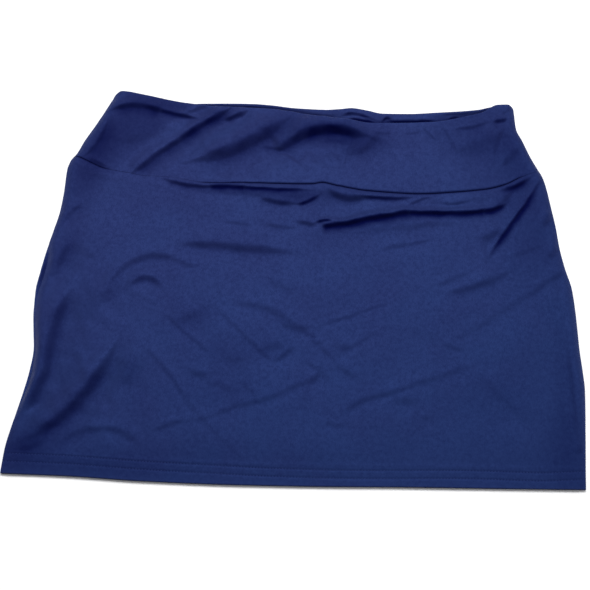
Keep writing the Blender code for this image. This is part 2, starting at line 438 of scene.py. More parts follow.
# Creases of the front yoke
YOKE_FOLDS = (
    Fold(-171, 150, -149, 156, -126, 152.4, 2.6, 3.3, 1.5, Join.END),
    Fold(-126, 152.4, -110, 148.6, -90, 145.4, 1.5, 2.2, 0.9, Join.START),
    Fold(-191, 105, -177, 121, -169.5, 150, 2.0, 2.0, 2.2),
    Fold(-187, 106, -177, 101, -166, 97, 1.6, 1.2),
    Fold(-165, 123, -133, 127, -95, 148, 7.1, 1.9),
    Fold(-151, 88.6, -129.6, 107.6, -108, 125.6, 2.7, 3.1, 1.3, Join.END),
    Fold(-108, 125.6, -85.2, 143.2, -62, 159, 2.6, 3.7, 1.1, Join.START),
    Fold(-108, 147.4, -95, 154.0, -79, 161.4, 2.8, 1.9, 1.0),
    Fold(-73, 146.6, -62, 149, -49, 156, 2.2, 2.6, 0.5),
    Fold(-101, 104, -52, 122.0, -9.5, 154.3, 5.6, 5.8, 0.3),
    Fold(-24, 116.6, -14, 126.5, -2, 133.5, 4.6, 5.9, 0.4, Join.END),
    Fold(-2, 133.5, 23, 138.8, 55, 133.4, 5.5, 8.4, 0.1, Join.START),
    Fold(-39, 122.6, -28, 120.4, -16, 119.6, 2.2, 2.0, 0.5),
    Fold(11, 128, 25, 130, 39, 129, 1.6, 1.2, 0.5),
    Fold(24, 126, 47, 121.5, 64, 142, 4.8, 2.4, 0.4),
    Fold(98, 147.5, 105.5, 138.5, 114, 131, 2.2, 0.9, 0.3),
    Fold(116, 151, 123.5, 134, 132, 117, 3.0, 1.3, 0.5),
    Fold(124.5, 144, 142, 147, 158, 153.4, 1.8, 1.2, 0.5),
    Fold(160, 152.4, 167, 153.6, 174, 155.6, 1.5, 1.8),
    Fold(168, 159.6, 172.4, 163.4, 177, 167.6, 1.6, 0.7),
    Fold(161, 118, 164.5, 133.5, 171, 148, 2.8, 1.2, 0.5),
    Fold(166.5, 109.3, 174.4, 119.3, 185.4, 130.3, 3.4, 1.6),
    Fold(129, 124, 150, 129, 168, 143, 7.1, 1.8),
    Fold(59, 138.8, 66, 137.6, 74, 139.4, 1.5, 0.6),
    Fold(82, 139.2, 90, 139, 100, 141.8, 1.5, 0.5),
)

# Creases of the front panel
SKIRT_FOLDS = (
    Fold(-123, 88.8, -101, 83, -80, 82.6, 1.6, 1.8, 0.5, Join.END),
    Fold(-80, 82.6, -66, 82.8, -50, 82.4, 1.5, 2.5, 0.9, Join.BOTH),
    Fold(-50, 82.4, -22, 82, 7, 81.8, 1.0, 1.6, 1.3, Join.START),
    Fold(-96, 78, -45, 77, -2, 78, 3.2, 0.8),
    Fold(-38, 74.4, -24, 70.6, -4, 69, 2.2, 2.0, 0.2),
    Fold(-6, 68.8, 3, 71.6, 14, 79.4, 1.2, 1.9, 0.2),
    Fold(2, 64, 7, 66, 12, 69, 0.9, 0.3),
    Fold(18, 86.4, 34, 76, 58, 79.4, 3.0, 2.7, 0.4),
    Fold(44, 78.6, 67, 77, 95, 79, 1.3, 1.8, 0.5),
    Fold(86, 70, 97, 76, 109, 80, 1.0, 0.8),
    Fold(112, 76, 126, 74, 143, 79, 1.0, 0.5),
    Fold(-7, 53.4, 3, 51.8, 12, 49.8, 1.9, 1.3, 0.4),
    Fold(9, 51.6, 17, 54.8, 25, 54.2, 1.1, 1.7),
    Fold(17, 49.6, 52, 57.2, 88, 65.4, 1.75, 3.9, 1.2, Join.BOTH),
    Fold(88, 65.4, 119, 65.6, 152, 68.6, 1.4, 3.1, 1.3, Join.BOTH),
    Fold(152, 68.6, 161, 70.6, 171, 77.6, 1.4, 2.5, 1.0, Join.START),
    Fold(158, 70, 167, 77, 176, 89, 2.0, 1.2, 0.3),
    Fold(28, 44, 82, 52, 141, 59, 4.7, 1.2),
    Fold(165, 88, 178.6, 92.4, 193, 102, 1.6, 2.5, 0.9),
    Fold(153, 25, 177, 61.6, 203, 103, 1.1, 2.2, 2.0),
    Fold(148, 44, 157.4, 46, 169, 54, 4.0, 1.8),
    Fold(200, 56, 206, 63, 211, 70, 3.2, 1.8),
    Fold(205, 28, 209, 33, 213, 42, 3.2, 1.5),
    Fold(205, 9, 211, 12, 217, 18, 2.4, 1.2),
    Fold(-108, 29.4, -61, 28.5, 1, 24, 3.6, 2.3, 0.4),
    Fold(-67, 51, -55, 50, -43, 48, 2.2, 0.6),
    Fold(-33, 51, -21, 48, -6, 48, 2.2, 0.8),
    Fold(-163, -22, -136, 15, -93, 10.4, 3.0, 1.7, 0.5),
    Fold(-103, 14, -93, 11, -82, 10, 1.6, 0.5),
    Fold(-145, -14, -129.1, -1.4, -113, -12.4, 2.4, 2.0, 0.4),
    Fold(-125, 6, -120, 5, -114, 2, 1.4, 0.4),
    Fold(-168, -31, -156, -16, -143, -1, 5.5, 1.6, 0.5),
    Fold(-171, 15, -156, 4, -139, -10, 0.8, 0.2),
    Fold(-139, -12, -128, -19, -117, -27, 0.8, 0.2),
    Fold(-180, 12, -173, 17, -166, 26, 1.3, 0.5),
    Fold(-201, 44, -195.4, 54, -181, 67, 2.6, 1.4),
    Fold(-205, -1, -198.5, 14, -193, 31, 4.3, 2.6),
    Fold(-208, -1, -202, 0, -195, 4, 1.8, 0.8),
    Fold(-202.2, -80, -198.6, -46, -188, -12, 5.2, 5.0, 0.3, Join.START),
    Fold(-218, -119, -208.4, -102.5, -202.2, -80, 5.0, 5.0, 0, Join.END),
    Fold(-219, -144, -176.5, -110.5, -144, -50, 5.0, 5.6, 0.4),
    Fold(-221, -150, -210, -147, -198, -140, 3.2, 2.2),
    Fold(-189, -149, -174, -134.6, -150, -130.6, 3.4, 2.0, 0.5),
    Fold(-156, -129.6, -138, -133, -122, -145, 2.6, 1.1),
    Fold(-144, -98, -136, -84, -129, -62, 4.6, 1.4),
    Fold(-128.6, -60.1, -110.5, -76, -92.1, -99.6, 1.1, 0.5, 0, Join.END),
    Fold(-92.1, -99.6, -80, -114.9, -67.4, -126.7, 1.1, 0.32, 0, Join.BOTH),
    Fold(-67.4, -126.7, -52.4, -141.6, -32, -160, 1.2, 0.3, 0, Join.START),
    Fold(-117, -132, -102, -126, -85, -121, 1.8, 0.8),
    Fold(-87, -122.5, -76, -119.6, -63, -115, 1.4, 0.35),
    Fold(-71, -23, -54, -40, -40, -53, 1.1, 0.42, 0, Join.END),
    Fold(-40, -53, -31, -62, -20, -71, 1.4, 0.65, 0, Join.START),
    Fold(-20, -71, -13, -65, -2, -54, 1.8, 0.9),
    Fold(-34, -61, -21, -58, -8, -53, 3.4, 0.7),
    Fold(-110, -33.4, -101, -41.4, -91, -50, 1.1, 0.6, 0, Join.END),
    Fold(-91, -50, -81, -57.6, -71, -66.4, 1.2, 0.45, 0, Join.START),
    Fold(-103, -42, -93, -36, -80, -28, 3.8, 1.0),
    Fold(-89, -79, -80, -83, -72, -82, 3.0, 0.9),
    Fold(-72, -89, -61, -92, -48, -97, 1.6, 0.4),
    Fold(-61, -71, -52, -70, -43, -69, 3.0, 0.55),
    Fold(-48, -86, -39, -94, -30, -103, 1.1, 0.4),
    Fold(-71, -118, -46, -108, -23, -100.6, 1.7, 0.6, -1.0, Join.END),
    Fold(-23, -100.6, -9, -94, 8, -86, 1.6, 0.5, -1.0, Join.BOTH),
    Fold(8, -86, 13.4, -82, 17, -75, 2.4, 1.1, 0.2, Join.START),
    Fold(6, -69, 12, -73, 19, -77, 1.1, 0.6),
    Fold(-58.3, -23, -30.4, -24.4, 5, -43, 3.0, 0.9, 0.5),
    Fold(-17, -35, -4, -40.5, 11, -40.6, 2.8, 1.2, 0.2),
    Fold(5, -45, 10, -47, 15, -48, 1.2, 0.6),
    Fold(8, -51, 14, -53, 21, -52, 1.2, 0.6),
    Fold(16, -55, 21, -60, 27, -67, 1.5, 0.6),
    Fold(26, -55, 34, -55.6, 42, -55, 3.0, 0.7),
    Fold(11, -42, 42, -28, 80, -14, 1.0, 0.45, 0.3),
    Fold(29, -64, 44, -53.5, 70, -37.5, 1.6, 0.4),
    Fold(28, -69, 38, -76.6, 49, -84, 2.1, 0.6),
    Fold(36, -110.6, 56, -99, 84, -90, 2.1, 0.8, -1.2, Join.END),
    Fold(84, -90, 114, -78, 146, -66, 1.8, 0.5, -1.0, Join.START),
    Fold(21, -118, 29, -120.6, 39, -122.6, 1.3, 0.5),
    Fold(72, -104, 85, -99, 98, -103, 3.8, 0.9),
    Fold(98, -113, 103, -113, 109, -115, 2.6, 0.5),
    Fold(143, -74, 164, -94, 192, -121, 5.0, 0.9),
    Fold(116, -51, 125, -53, 135, -56, 2.2, 0.6),
    Fold(88, -38, 103, -43, 119, -50, 4.0, 0.35),
    Fold(117, -5, 144, 0.6, 174, 16.4, 3.2, 1.4, 0.5),
    Fold(109, -1, 126, 6.8, 144, 16, 1.7, 0.6),
    Fold(61, 30, 84, 35, 112, 43, 1.8, 0.75),
    Fold(126, -46.5, 168, -18.5, 207, 13, 3.0, 0.42, 0.2),
    Fold(187, -6.6, 198, 2.4, 209, 11, 1.8, 0.6),
    Fold(170, 27.4, 186, 33, 204, 41, 2.3, 0.5),
    Fold(220, -136, 225, -135, 229, -134, 1.8, 1.2),
    Fold(-150, 60, -142, 54, -132, 58, 1.6, 0.3),
    Fold(-30, 1, -16, -5, -2, -11, 3.2, 0.5),
    Fold(12, 5, 12.6, 20, 13, 80, 0.9, 0.22),
    Fold(5, -140, 6, -110, 8, -85, 1.2, 0.25),
    Fold(217, -44, 220.6, -85, 225, -138, 1.6, -0.9),
)

# Creases of the back, which lies face down
BACK_FOLDS = (
    Fold(-150, 140, -110, 128, -60, 150, 4.0, 1.8),
    Fold(30, 150, 70, 130, 140, 128, 4.0, 1.8),
    Fold(20, 74, 110, 66, 160, 80, 4.0, 2.0),
    Fold(-140, 84, -80, 70, -20, 74, 3.5, 1.6),
    Fold(-175, -30, -165, 30, -190, 70, 5.0, 1.8),
    Fold(-120, 40, -60, 20, 10, 36, 4.0, 1.6),
    Fold(170, -40, 170, 20, 195, 60, 5.0, 2.0),
    Fold(-170, -140, -110, -90, -60, -20, 4.0, 2.0),
    Fold(-40, -150, 10, -90, 90, -60, 4.0, 1.8),
    Fold(70, -140, 110, -110, 190, -100, 3.5, 1.6),
    Fold(30, 10, 90, -10, 150, 16, 3.5, 1.4),
    Fold(-212, -140, -200, -100, -202, -60, 3.5, 1.6),
)

# Small folds of the back yoke's inner face, where it shows over the front's waist
STRIP_FOLDS = (
    Fold(29, 155.5, 42, 157.0, 63, 150.6, 0.9, 1.2),
    Fold(34, 152.6, 47, 151.2, 61, 149.0, 1.3, 2.0),
    Fold(65, 150.2, 69, 154.0, 74, 152.2, 0.9, 1.3),
    Fold(66, 150.8, 92, 152.2, 118, 152.8, 1.1, 1.8),
    Fold(121, 155.2, 127, 157.4, 133, 156.4, 0.9, 0.9),
    Fold(114, 159.2, 130, 160.8, 146, 163.0, 0.7, 0.6),
    Fold(-6, 157.6, 12, 155.0, 30, 157.6, 0.7, 0.4),
    Fold(-88, 159.4, -80, 159.6, -72, 159.6, 0.7, 0.9),
    Fold(-56, 160.2, -46, 160.2, -38, 159.8, 0.7, 0.9),
)

# Broad soft painted shades of the front, and painted highlights where depth is below nought
PAINTED_PATCHES = (
    PaintedPatch(-140, 141, 42, 17, -4, 0.35),
    PaintedPatch(-126, 159, 40, 8, -9, 0.45),
    PaintedPatch(-150, 118, 30, 22, 20, 0.2),
    PaintedPatch(-172, 118, 16, 26, -22, 0.45),
    PaintedPatch(-184, 90, 16, 20, -20, 0.3),
    PaintedPatch(-190, 62, 20, 40, 0, 0.2),
    PaintedPatch(150, 133, 24, 20, 0, 0.33),
    PaintedPatch(140, 157, 26, 7, 15, 0.2),
    PaintedPatch(180, 126, 16, 32, 24, 0.38),
    PaintedPatch(170, 100, 26, 16, 0, 0.16),
    PaintedPatch(-58, 117, 34, 8, 38, 0.2),
    PaintedPatch(-68, 136, 38, 5.5, 38, -0.8),
    PaintedPatch(-110, 138, 38, 7.0, 44, -0.85),
    PaintedPatch(-20, 89.6, 58, 1.2, 0, -0.7),
    PaintedPatch(-24, 140, 22, 10, 40, 0.25),
    PaintedPatch(24, 134, 42, 10, -3, 0.4),
    PaintedPatch(50, 127, 18, 11, 20, 0.3),
    PaintedPatch(-4, 76, 26, 7, 6, 0.42),
    PaintedPatch(-50, 78.4, 44, 3.2, -1, 0.3),
    PaintedPatch(60, 80, 50, 5, -2, 0.05),
    PaintedPatch(48, 47, 40, 8, 12, 0.14),
    PaintedPatch(196, 58, 30, 56, 0, 0.28),
    PaintedPatch(172, 78, 20, 12, 0, 0.14),
    PaintedPatch(-157, -16, 18, 12, 45, 0.2),
    PaintedPatch(-158, 44, 34, 46, 0, -0.26),
    PaintedPatch(-154, -50, 30, 34, 20, -0.28),
    PaintedPatch(-196, 18, 10, 20, -12, 0.26),
    PaintedPatch(-212, -146, 26, 16, 30, 0.5),
    PaintedPatch(-160, -160, 78, 12, -1, 0.3),
    PaintedPatch(-135, -80, 10, 22, 15, 0.22),
    PaintedPatch(-118, -48, 30, 18, 0, 0.09),
    PaintedPatch(-85, -33, 16, 9, 30, 0.16),
    PaintedPatch(-21, -56, 18, 9, 10, 0.14),
    PaintedPatch(-59, -64, 30, 12, 0, 0.13),
    PaintedPatch(-66, -98, 40, 16, 10, 0.12),
    PaintedPatch(-60, -148, 150, 18, -3, 0.09),
    PaintedPatch(168, -96, 40, 36, 30, 0.09),
    PaintedPatch(216, -80, 10, 60, 2, 0.2),
    PaintedPatch(214, -140, 18, 30, 2, 0.34),
)


# --------------------------------------------------------------------------------------
# Shape
# --------------------------------------------------------------------------------------


def ease(share: Values) -> Values:
    """A smooth step from 0 to 1."""
    share = np.clip(share, 0, 1)
    return share * share * (3 - 2 * share)


def bell(distance: Values, spread: float | Values) -> Values:
    """A smooth hump, 1 at its middle."""
    return np.exp(-((distance / spread) ** 2))


def curve_through(rows: Sequence, place: str, value: str) -> Curve:
    """A smooth curve through two columns of a table, never past their extremes.

    Args:
        rows: the table.
        place: name of the column that runs along.
        value: name of the column that the curve gives.

    Returns:
        A function from places to values.
    """
    places = np.array([getattr(row, place) for row in rows])
    values = np.array([getattr(row, value) for row in rows])
    steps = np.diff(places)
    slopes = np.diff(values) / steps
    product = slopes[:-1] * slopes[1:]
    same_way = product > 0
    total = np.where(same_way, slopes[:-1] + slopes[1:], 1.0)
    inner = np.where(same_way, 2 * product / total, 0.0)
    tangents = np.concatenate((slopes[:1], inner, slopes[-1:]))

    def at(where: Values) -> Values:
        """The curve's value at each place."""
        where = np.clip(where, places[0], places[-1])
        i = np.clip(np.searchsorted(places, where) - 1, 0, len(steps) - 1)
        t = (where - places[i]) / steps[i]
        start = (1 + 2 * t) * (1 - t) ** 2 * values[i]
        end = t * t * (3 - 2 * t) * values[i + 1]
        bends = t * (1 - t) ** 2 * tangents[i] - t * t * (1 - t) * tangents[i + 1]
        return start + end + steps[i] * bends

    return at


@dataclass(frozen=True)
class Outline:
    """The skirt's edges and seams, as curves."""

    left: Curve = field(default=curve_through(SECTIONS, "height", "left"))
    right: Curve = field(default=curve_through(SECTIONS, "height", "right"))
    hem: Curve = field(default=curve_through(HEM_EDGE, "x", "y"))
    front_seam: Curve = field(default=curve_through(FRONT_SEAM, "x", "y"))
    back_seam: Curve = field(default=curve_through(BACK_SEAM, "x", "y"))
    front_waist: Curve = field(default=curve_through(FRONT_WAIST, "x", "y"))
    back_waist: Curve = field(default=curve_through(BACK_WAIST, "x", "y"))
    needle_row: Curve = field(default=curve_through(LOWER_NEEDLE_ROW, "x", "y"))
    rows_show: Curve = field(default=curve_through(ROWS_SHOW, "x", "pull"))
    left_rim: Curve = field(default=curve_through(LEFT_RIM, "height", "depth"))
    right_rim: Curve = field(default=curve_through(RIGHT_RIM, "height", "depth"))
    back_shows: Curve = field(default=curve_through(BACK_SHOWS, "height", "depth"))
    seam_draw: Curve = field(default=curve_through(SEAM_DRAW, "x", "pull"))

    def front_left(self, y: Values) -> Values:
        """The front's left side, drawn in where the back shows past it."""
        return self.left(y) + self.back_shows(y)


OUTLINE = Outline()


@dataclass(frozen=True)
class Drift:
    """Slow unevenness of the cloth: a few long waves that never repeat on the skirt.

    Args:
        waves: rows of wave numbers across and up, phase and weight.
    """

    waves: tuple = (
        (0.071, 0.043, 0.4, 1.0),
        (-0.052, 0.083, 2.1, 0.8),
        (0.113, -0.067, 4.0, 0.6),
        (0.031, 0.127, 1.3, 0.6),
        (-0.139, -0.048, 5.2, 0.4),
    )

    def at(self, x: Values, y: Values, turn: float = 0.0, grain: float = 1.0) -> Values:
        """The waves' sum at each place, about -1 to 1.

        Args:
            x: places across.
            y: places up the skirt.
            turn: a shift of phase, for a second, unlike set.
            grain: how many times shorter the waves are.

        Returns:
            One value for each place.
        """
        x, y = grain * x, grain * y
        total = np.zeros(np.shape(x))
        for across, up, phase, weight in self.waves:
            total = total + weight * np.sin(across * x + up * y + phase + turn * (1 + weight))
        return total / sum(wave[3] for wave in self.waves)


DRIFT = Drift()


@dataclass(frozen=True)
class Beside:
    """Where places lie beside a fold's arc.

    Args:
        share: how far along the arc they are, from 0 to 1.
        right: how far to its right.
        past_end: how far past its end, or, below nought, before its start.
    """

    share: Values
    right: Values
    past_end: Values


@dataclass(frozen=True)
class Creases:
    """Relief of a set of folds, with shade painted along them. Its reaches are in runs of the fold.

    Args:
        folds: the folds.
        steps: straight runs in each arc.
        margin: how far from its arc a fold is worked out.
        bow_margin: share of an arc's bow by which it may pass its three places.
        bank: reach of the soft bank over a drop.
        hollow: reach of the shallow hollow under it.
        end_taper: share of an arc over which it tapers at a free end.
        end_strength: what is left of its drop at a free end.
        end_width: what is left of its run at a free end.
        end_reach: how far it fades past its ends.
        join_reach: length over which it gives way to a fold that it joins.
        join_part: share of an arc, by such an end, in which it does.
        sway: how unevenly strong a fold is along its arc.
        sway_grain: how many times shorter than the cloth's drift that is.
        run_sway: how unevenly wide it is.
        run_grain: how many times shorter than the cloth's drift that is.
        wander: how far the folds stray from their arcs, in millimetres.
        wander_grains: how many times shorter the slow and the fine wander are.
        wander_turns: phases of the slow and the fine wander, across and up.
        fine_wander: strength of the fine wander beside the slow one.
        full_slope: the slope at which a fold's painted shade is full.
        shade_power: how much weaker than their slopes the painted shade of faint folds is.
        shade_reach: reach of the painted shade to each side.
        soft_reach: how much farther it reaches on a fully soft side.
        most_shade: the strongest painted shade, past 1 so that a deep fold is painted dark to its sides.
    """

    folds: Sequence[Fold]
    steps: int = 12
    margin: float = 9.0
    bow_margin: float = 0.25
    bank: float = 2.4
    hollow: float = 3.4
    end_taper: float = 0.32
    end_strength: float = 0.12
    end_width: float = 0.45
    end_reach: float = 2.0
    join_reach: float = 3.0
    join_part: float = 0.4
    sway: float = 0.22
    sway_grain: float = 3.1
    run_sway: float = 0.18
    run_grain: float = 4.3
    wander: float = 0.6
    wander_grains: tuple[float, float] = (1.7, 6.0)
    wander_turns: tuple = ((1.0, 3.0), (2.6, 5.0))
    fine_wander: float = 0.5
    full_slope: float = 1.2
    shade_power: float = 1.6
    shade_reach: float = 1.05
    soft_reach: float = 1.3
    most_shade: float = 1.3

    def arc(self, fold: Fold) -> tuple[Values, Values]:
        """The points of a fold's arc, across and up."""
        t = np.linspace(0, 1, self.steps + 1)
        before, after = (1 - t) * (1 - 2 * t), t * (2 * t - 1)
        between = 4 * t * (1 - t)
        line_x = before * fold.start_x + between * fold.middle_x + after * fold.end_x
        line_y = before * fold.start_y + between * fold.middle_y + after * fold.end_y
        return line_x, line_y

    def beside(self, line: tuple[Values, Values], x: Values, y: Values) -> Beside:
        """Find where places lie beside an arc.

        Args:
            line: the arc's points.
            x: places across.
            y: places up the skirt.

        Returns:
            Where they lie.
        """
        line_x, line_y = line
        nearest = np.full(x.shape, np.inf)
        share, off_right, past_end = np.zeros(x.shape), np.zeros(x.shape), np.zeros(x.shape)
        for i in range(self.steps):
            run_x, run_y = line_x[i + 1] - line_x[i], line_y[i + 1] - line_y[i]
            length = math.hypot(run_x, run_y)
            ahead_x, ahead_y = run_x / length, run_y / length
            off_x, off_y = x - line_x[i], y - line_y[i]
            along = off_x * ahead_x + off_y * ahead_y
            right = off_x * ahead_y - off_y * ahead_x
            inside = np.clip(along, 0, length)
            off = np.hypot(along - inside, right)
            closer = off < nearest
            nearest = np.where(closer, off, nearest)
            share = np.where(closer, (i + inside / length) / self.steps, share)
            off_right = np.where(closer, right, off_right)
            past_end = np.where(closer, along - inside, past_end)
        return Beside(share, off_right, past_end)

    def strength(
        self, fold: Fold, line: tuple[Values, Values], beside: Beside, x: Values, y: Values
    ) -> tuple[Values, Values]:
        """How strong and how wide a fold is along its arc.

        Args:
            fold: the fold.
            line: its arc's points.
            beside: where the places lie beside its arc.
            x: the places across.
            y: the places up the skirt.

        Returns:
            Its strength, from 0 to about 1, and its run at each place.
        """
        line_x, line_y = line
        joins_start = fold.join in (Join.START, Join.BOTH)
        joins_end = fold.join in (Join.END, Join.BOTH)
        from_end = np.minimum(beside.share + joins_start, 1 - beside.share + joins_end)
        tapered = ease(from_end / self.end_taper)
        strength = self.end_strength + (1 - self.end_strength) * tapered
        strength = strength * bell(beside.past_end, self.end_reach * fold.run)
        strength = strength * (1 + self.sway * DRIFT.at(x, y, fold.middle_x, self.sway_grain))
        ends = (
            (joins_start, beside.share < self.join_part, 0, 1),
            (joins_end, beside.share > 1 - self.join_part, -1, -2),
        )
        for joined, by_end, last, before in ends:
            if not joined:
                continue
            step_x, step_y = line_x[last] - line_x[before], line_y[last] - line_y[before]
            past = (x - line_x[last]) * step_x + (y - line_y[last]) * step_y
            past = past / math.hypot(step_x, step_y)
            given_way = ease(0.5 - past / (self.join_reach * fold.run))
            strength = np.where(by_end, strength * given_way, strength)
        run = fold.run * (self.end_width + (1 - self.end_width) * tapered)
        run = run * (1 + self.run_sway * DRIFT.at(x, y, fold.middle_y, self.run_grain))
        return strength, run

    def shade(self, fold: Fold, lower: Values, run: Values) -> Values:
        """Painted shade across a fold, at its full strength.

        Args:
            fold: the fold.
            lower: how far on its low side the places are.
            run: its run there.

        Returns:
            Its painted shade at each place.
        """
        slope = 0.25 * math.pi * abs(fold.drop) / fold.run
        low_reach = self.shade_reach + self.soft_reach * max(fold.soft, 0)
        high_reach = self.shade_reach + self.soft_reach * max(-fold.soft, 0)
        reach = np.where(lower > 0, low_reach, high_reach) * run
        deepest = min(self.most_shade, (slope / self.full_slope) ** self.shade_power)
        return deepest * bell(lower, reach)

    def one(self, fold: Fold, x: Values, y: Values) -> tuple[Values, Values]:
        """Rise and painted shade of one fold.

        Args:
            fold: the fold.
            x: places across.
            y: places up the skirt.

        Returns:
            Its rise and its painted shade at each place.
        """
        line = self.arc(fold)
        beside = self.beside(line, x, y)
        strength, run = self.strength(fold, line, beside, x, y)
        lower = beside.right * math.copysign(1.0, fold.drop)
        steep = -np.sin(0.5 * math.pi * np.clip(lower / run, -1, 1))
        over = bell(np.clip(-lower - run, 0, None), self.bank * run)
        under = bell(np.clip(lower - run, 0, None), self.hollow * run)
        rise = 0.5 * abs(fold.drop) * steep * over * under * strength
        return rise, self.shade(fold, lower, run) * strength

    def strayed(self, x: Values, y: Values) -> tuple[Values, Values]:
        """Places moved a little, so that the folds wander off their arcs."""
        slow, fine = self.wander_grains
        moved = []
        for of, (slow_turn, fine_turn) in zip((x, y), self.wander_turns):
            waves = DRIFT.at(x, y, slow_turn, slow) + self.fine_wander * DRIFT.at(x, y, fine_turn, fine)
            moved.append(of + self.wander * waves)
        return moved[0], moved[1]

    def near(self, fold: Fold, x: Values, y: Values) -> Values:
        """Which places are near enough to a fold to be moved or given painted shade by it."""
        xs = (fold.start_x, fold.middle_x, fold.end_x)
        ys = (fold.start_y, fold.middle_y, fold.end_y)
        bow = max(abs(of[1] - 0.5 * (of[0] + of[2])) for of in (xs, ys))
        margin = self.margin * fold.run + self.bow_margin * bow
        near_x = (x > min(xs) - margin) & (x < max(xs) + margin)
        return near_x & (y > min(ys) - margin) & (y < max(ys) + margin)

    def at(self, x: Values, y: Values) -> tuple[Values, Values]:
        """Rise and painted shade of all the folds.

        Args:
            x: places across.
            y: places up the skirt.

        Returns:
            Their rise and their painted shade at each place.
        """
        x, y = self.strayed(x, y)
        rise, bright = np.zeros(x.shape), np.ones(x.shape)
        for fold in self.folds:
            near = self.near(fold, x, y)
            if not near.any():
                continue
            one_rise, one_shade = self.one(fold, x[near], y[near])
            rise[near] += one_rise
            bright[near] *= 1 - np.clip(one_shade, 0, 1)
        return rise, 1 - bright


@dataclass(frozen=True)
class LaidFront:
    """How the front lies over the back.

    Args:
        spread_lift: how high it lies over the back, away from its folds.
        most_lift: the highest that it lies over the back.
        hem_lift_share: what is left of that at the hem's edge.
        hem_roll: depth over which it comes down to the hem.
        side_roll: width over which it rolls down to its sides.
        rim_width: width of the painted bright rim beside its sides.
        thick_run: width over which it settles beside the thicker hem and yoke.
        seam_groove: depth of the groove at the yoke seam, where it is drawn in fully.
        seam_spread: reach of that groove to each side.
        seam_fullness: how far the skirt bulges under the seam.
        seam_fullness_least: share of that where the seam isn't drawn in at all.
        seam_fullness_sway: how uneven it is along the seam.
        seam_fullness_drop: how far under the seam it bulges.
        seam_fullness_spread: reach of that bulge to each side.
        sway: height of the slow unevenness.
        ripple: height of the finer unevenness.
        ripple_grain: how many times shorter than the slow unevenness that is.
        softness: how softly the front comes to rest on the back.
    """

    spread_lift: float = 2.8
    most_lift: float = 6.8
    hem_lift_share: float = 0.3
    hem_roll: float = 56.0
    side_roll: float = 6.0
    rim_width: float = 7.0
    thick_run: float = 40.0
    seam_groove: float = 0.7
    seam_spread: float = 0.9
    seam_fullness: float = 0.5
    seam_fullness_least: float = 0.3
    seam_fullness_sway: float = 0.5
    seam_fullness_drop: float = 6.0
    seam_fullness_spread: float = 4.0
    sway: float = 0.4
    ripple: float = 0.035
    ripple_grain: float = 9.0
    softness: float = 0.5

    def seam_relief(self, x: Values, y: Values) -> Values:
        """The groove at the yoke seam, and the fullness of the skirt under it."""
        below = OUTLINE.front_seam(x) - y
        draw = OUTLINE.seam_draw(x)
        groove = -self.seam_groove * draw * bell(below, self.seam_spread)
        least = self.seam_fullness_least
        full = self.seam_fullness * (least + (1 - least) * draw)
        full = full * (1 + self.seam_fullness_sway * DRIFT.at(2 * x, 0 * y))
        return groove + full * bell(below - self.seam_fullness_drop, self.seam_fullness_spread)

    def lift(self, x: Values, y: Values, folds: Values) -> Values:
        """Clear height between the back and the front.

        Args:
            x: places across.
            y: places up the skirt.
            folds: rise of the front's folds there.

        Returns:
            The heights.
        """
        uneven = self.sway * DRIFT.at(x, y) + self.ripple * DRIFT.at(x, y, 2.0, self.ripple_grain)
        open_lift = self.spread_lift + folds + uneven + self.seam_relief(x, y)
        from_side = np.minimum(x - OUTLINE.front_left(y), OUTLINE.right(y) - x)
        rolled = np.sin(0.5 * math.pi * np.clip(from_side / self.side_roll, 0, 1))
        from_hem = ease((y - OUTLINE.hem(x)) / self.hem_roll)
        near_hem = self.hem_lift_share + (1 - self.hem_lift_share) * from_hem
        wanted = open_lift * rolled * near_hem
        raised = 0.5 * (wanted + np.hypot(wanted, self.softness)) - 0.5 * self.softness
        return np.clip(raised, 0, self.most_lift)

    def top(self, x: Values, y: Values, folds: Values) -> Values:
        """Height of the front's face.

        Args:
            x: places across.
            y: places up the skirt.
            folds: rise of the front's folds there.

        Returns:
            The heights over the floor.
        """
        into_yoke = ease((y - OUTLINE.back_seam(x) + self.thick_run) / self.thick_run)
        thick = (CLOTH.yoke - CLOTH.single) * into_yoke
        thick = thick + (CLOTH.hem - CLOTH.single) * into_hem(x, y, self.thick_run)
        step = CLOTH.hem_step * into_hem(x, y, CLOTH.hem_fade)
        return CLOTH.ply_gap + 2 * (CLOTH.single + thick) + step + self.lift(x, y, folds)


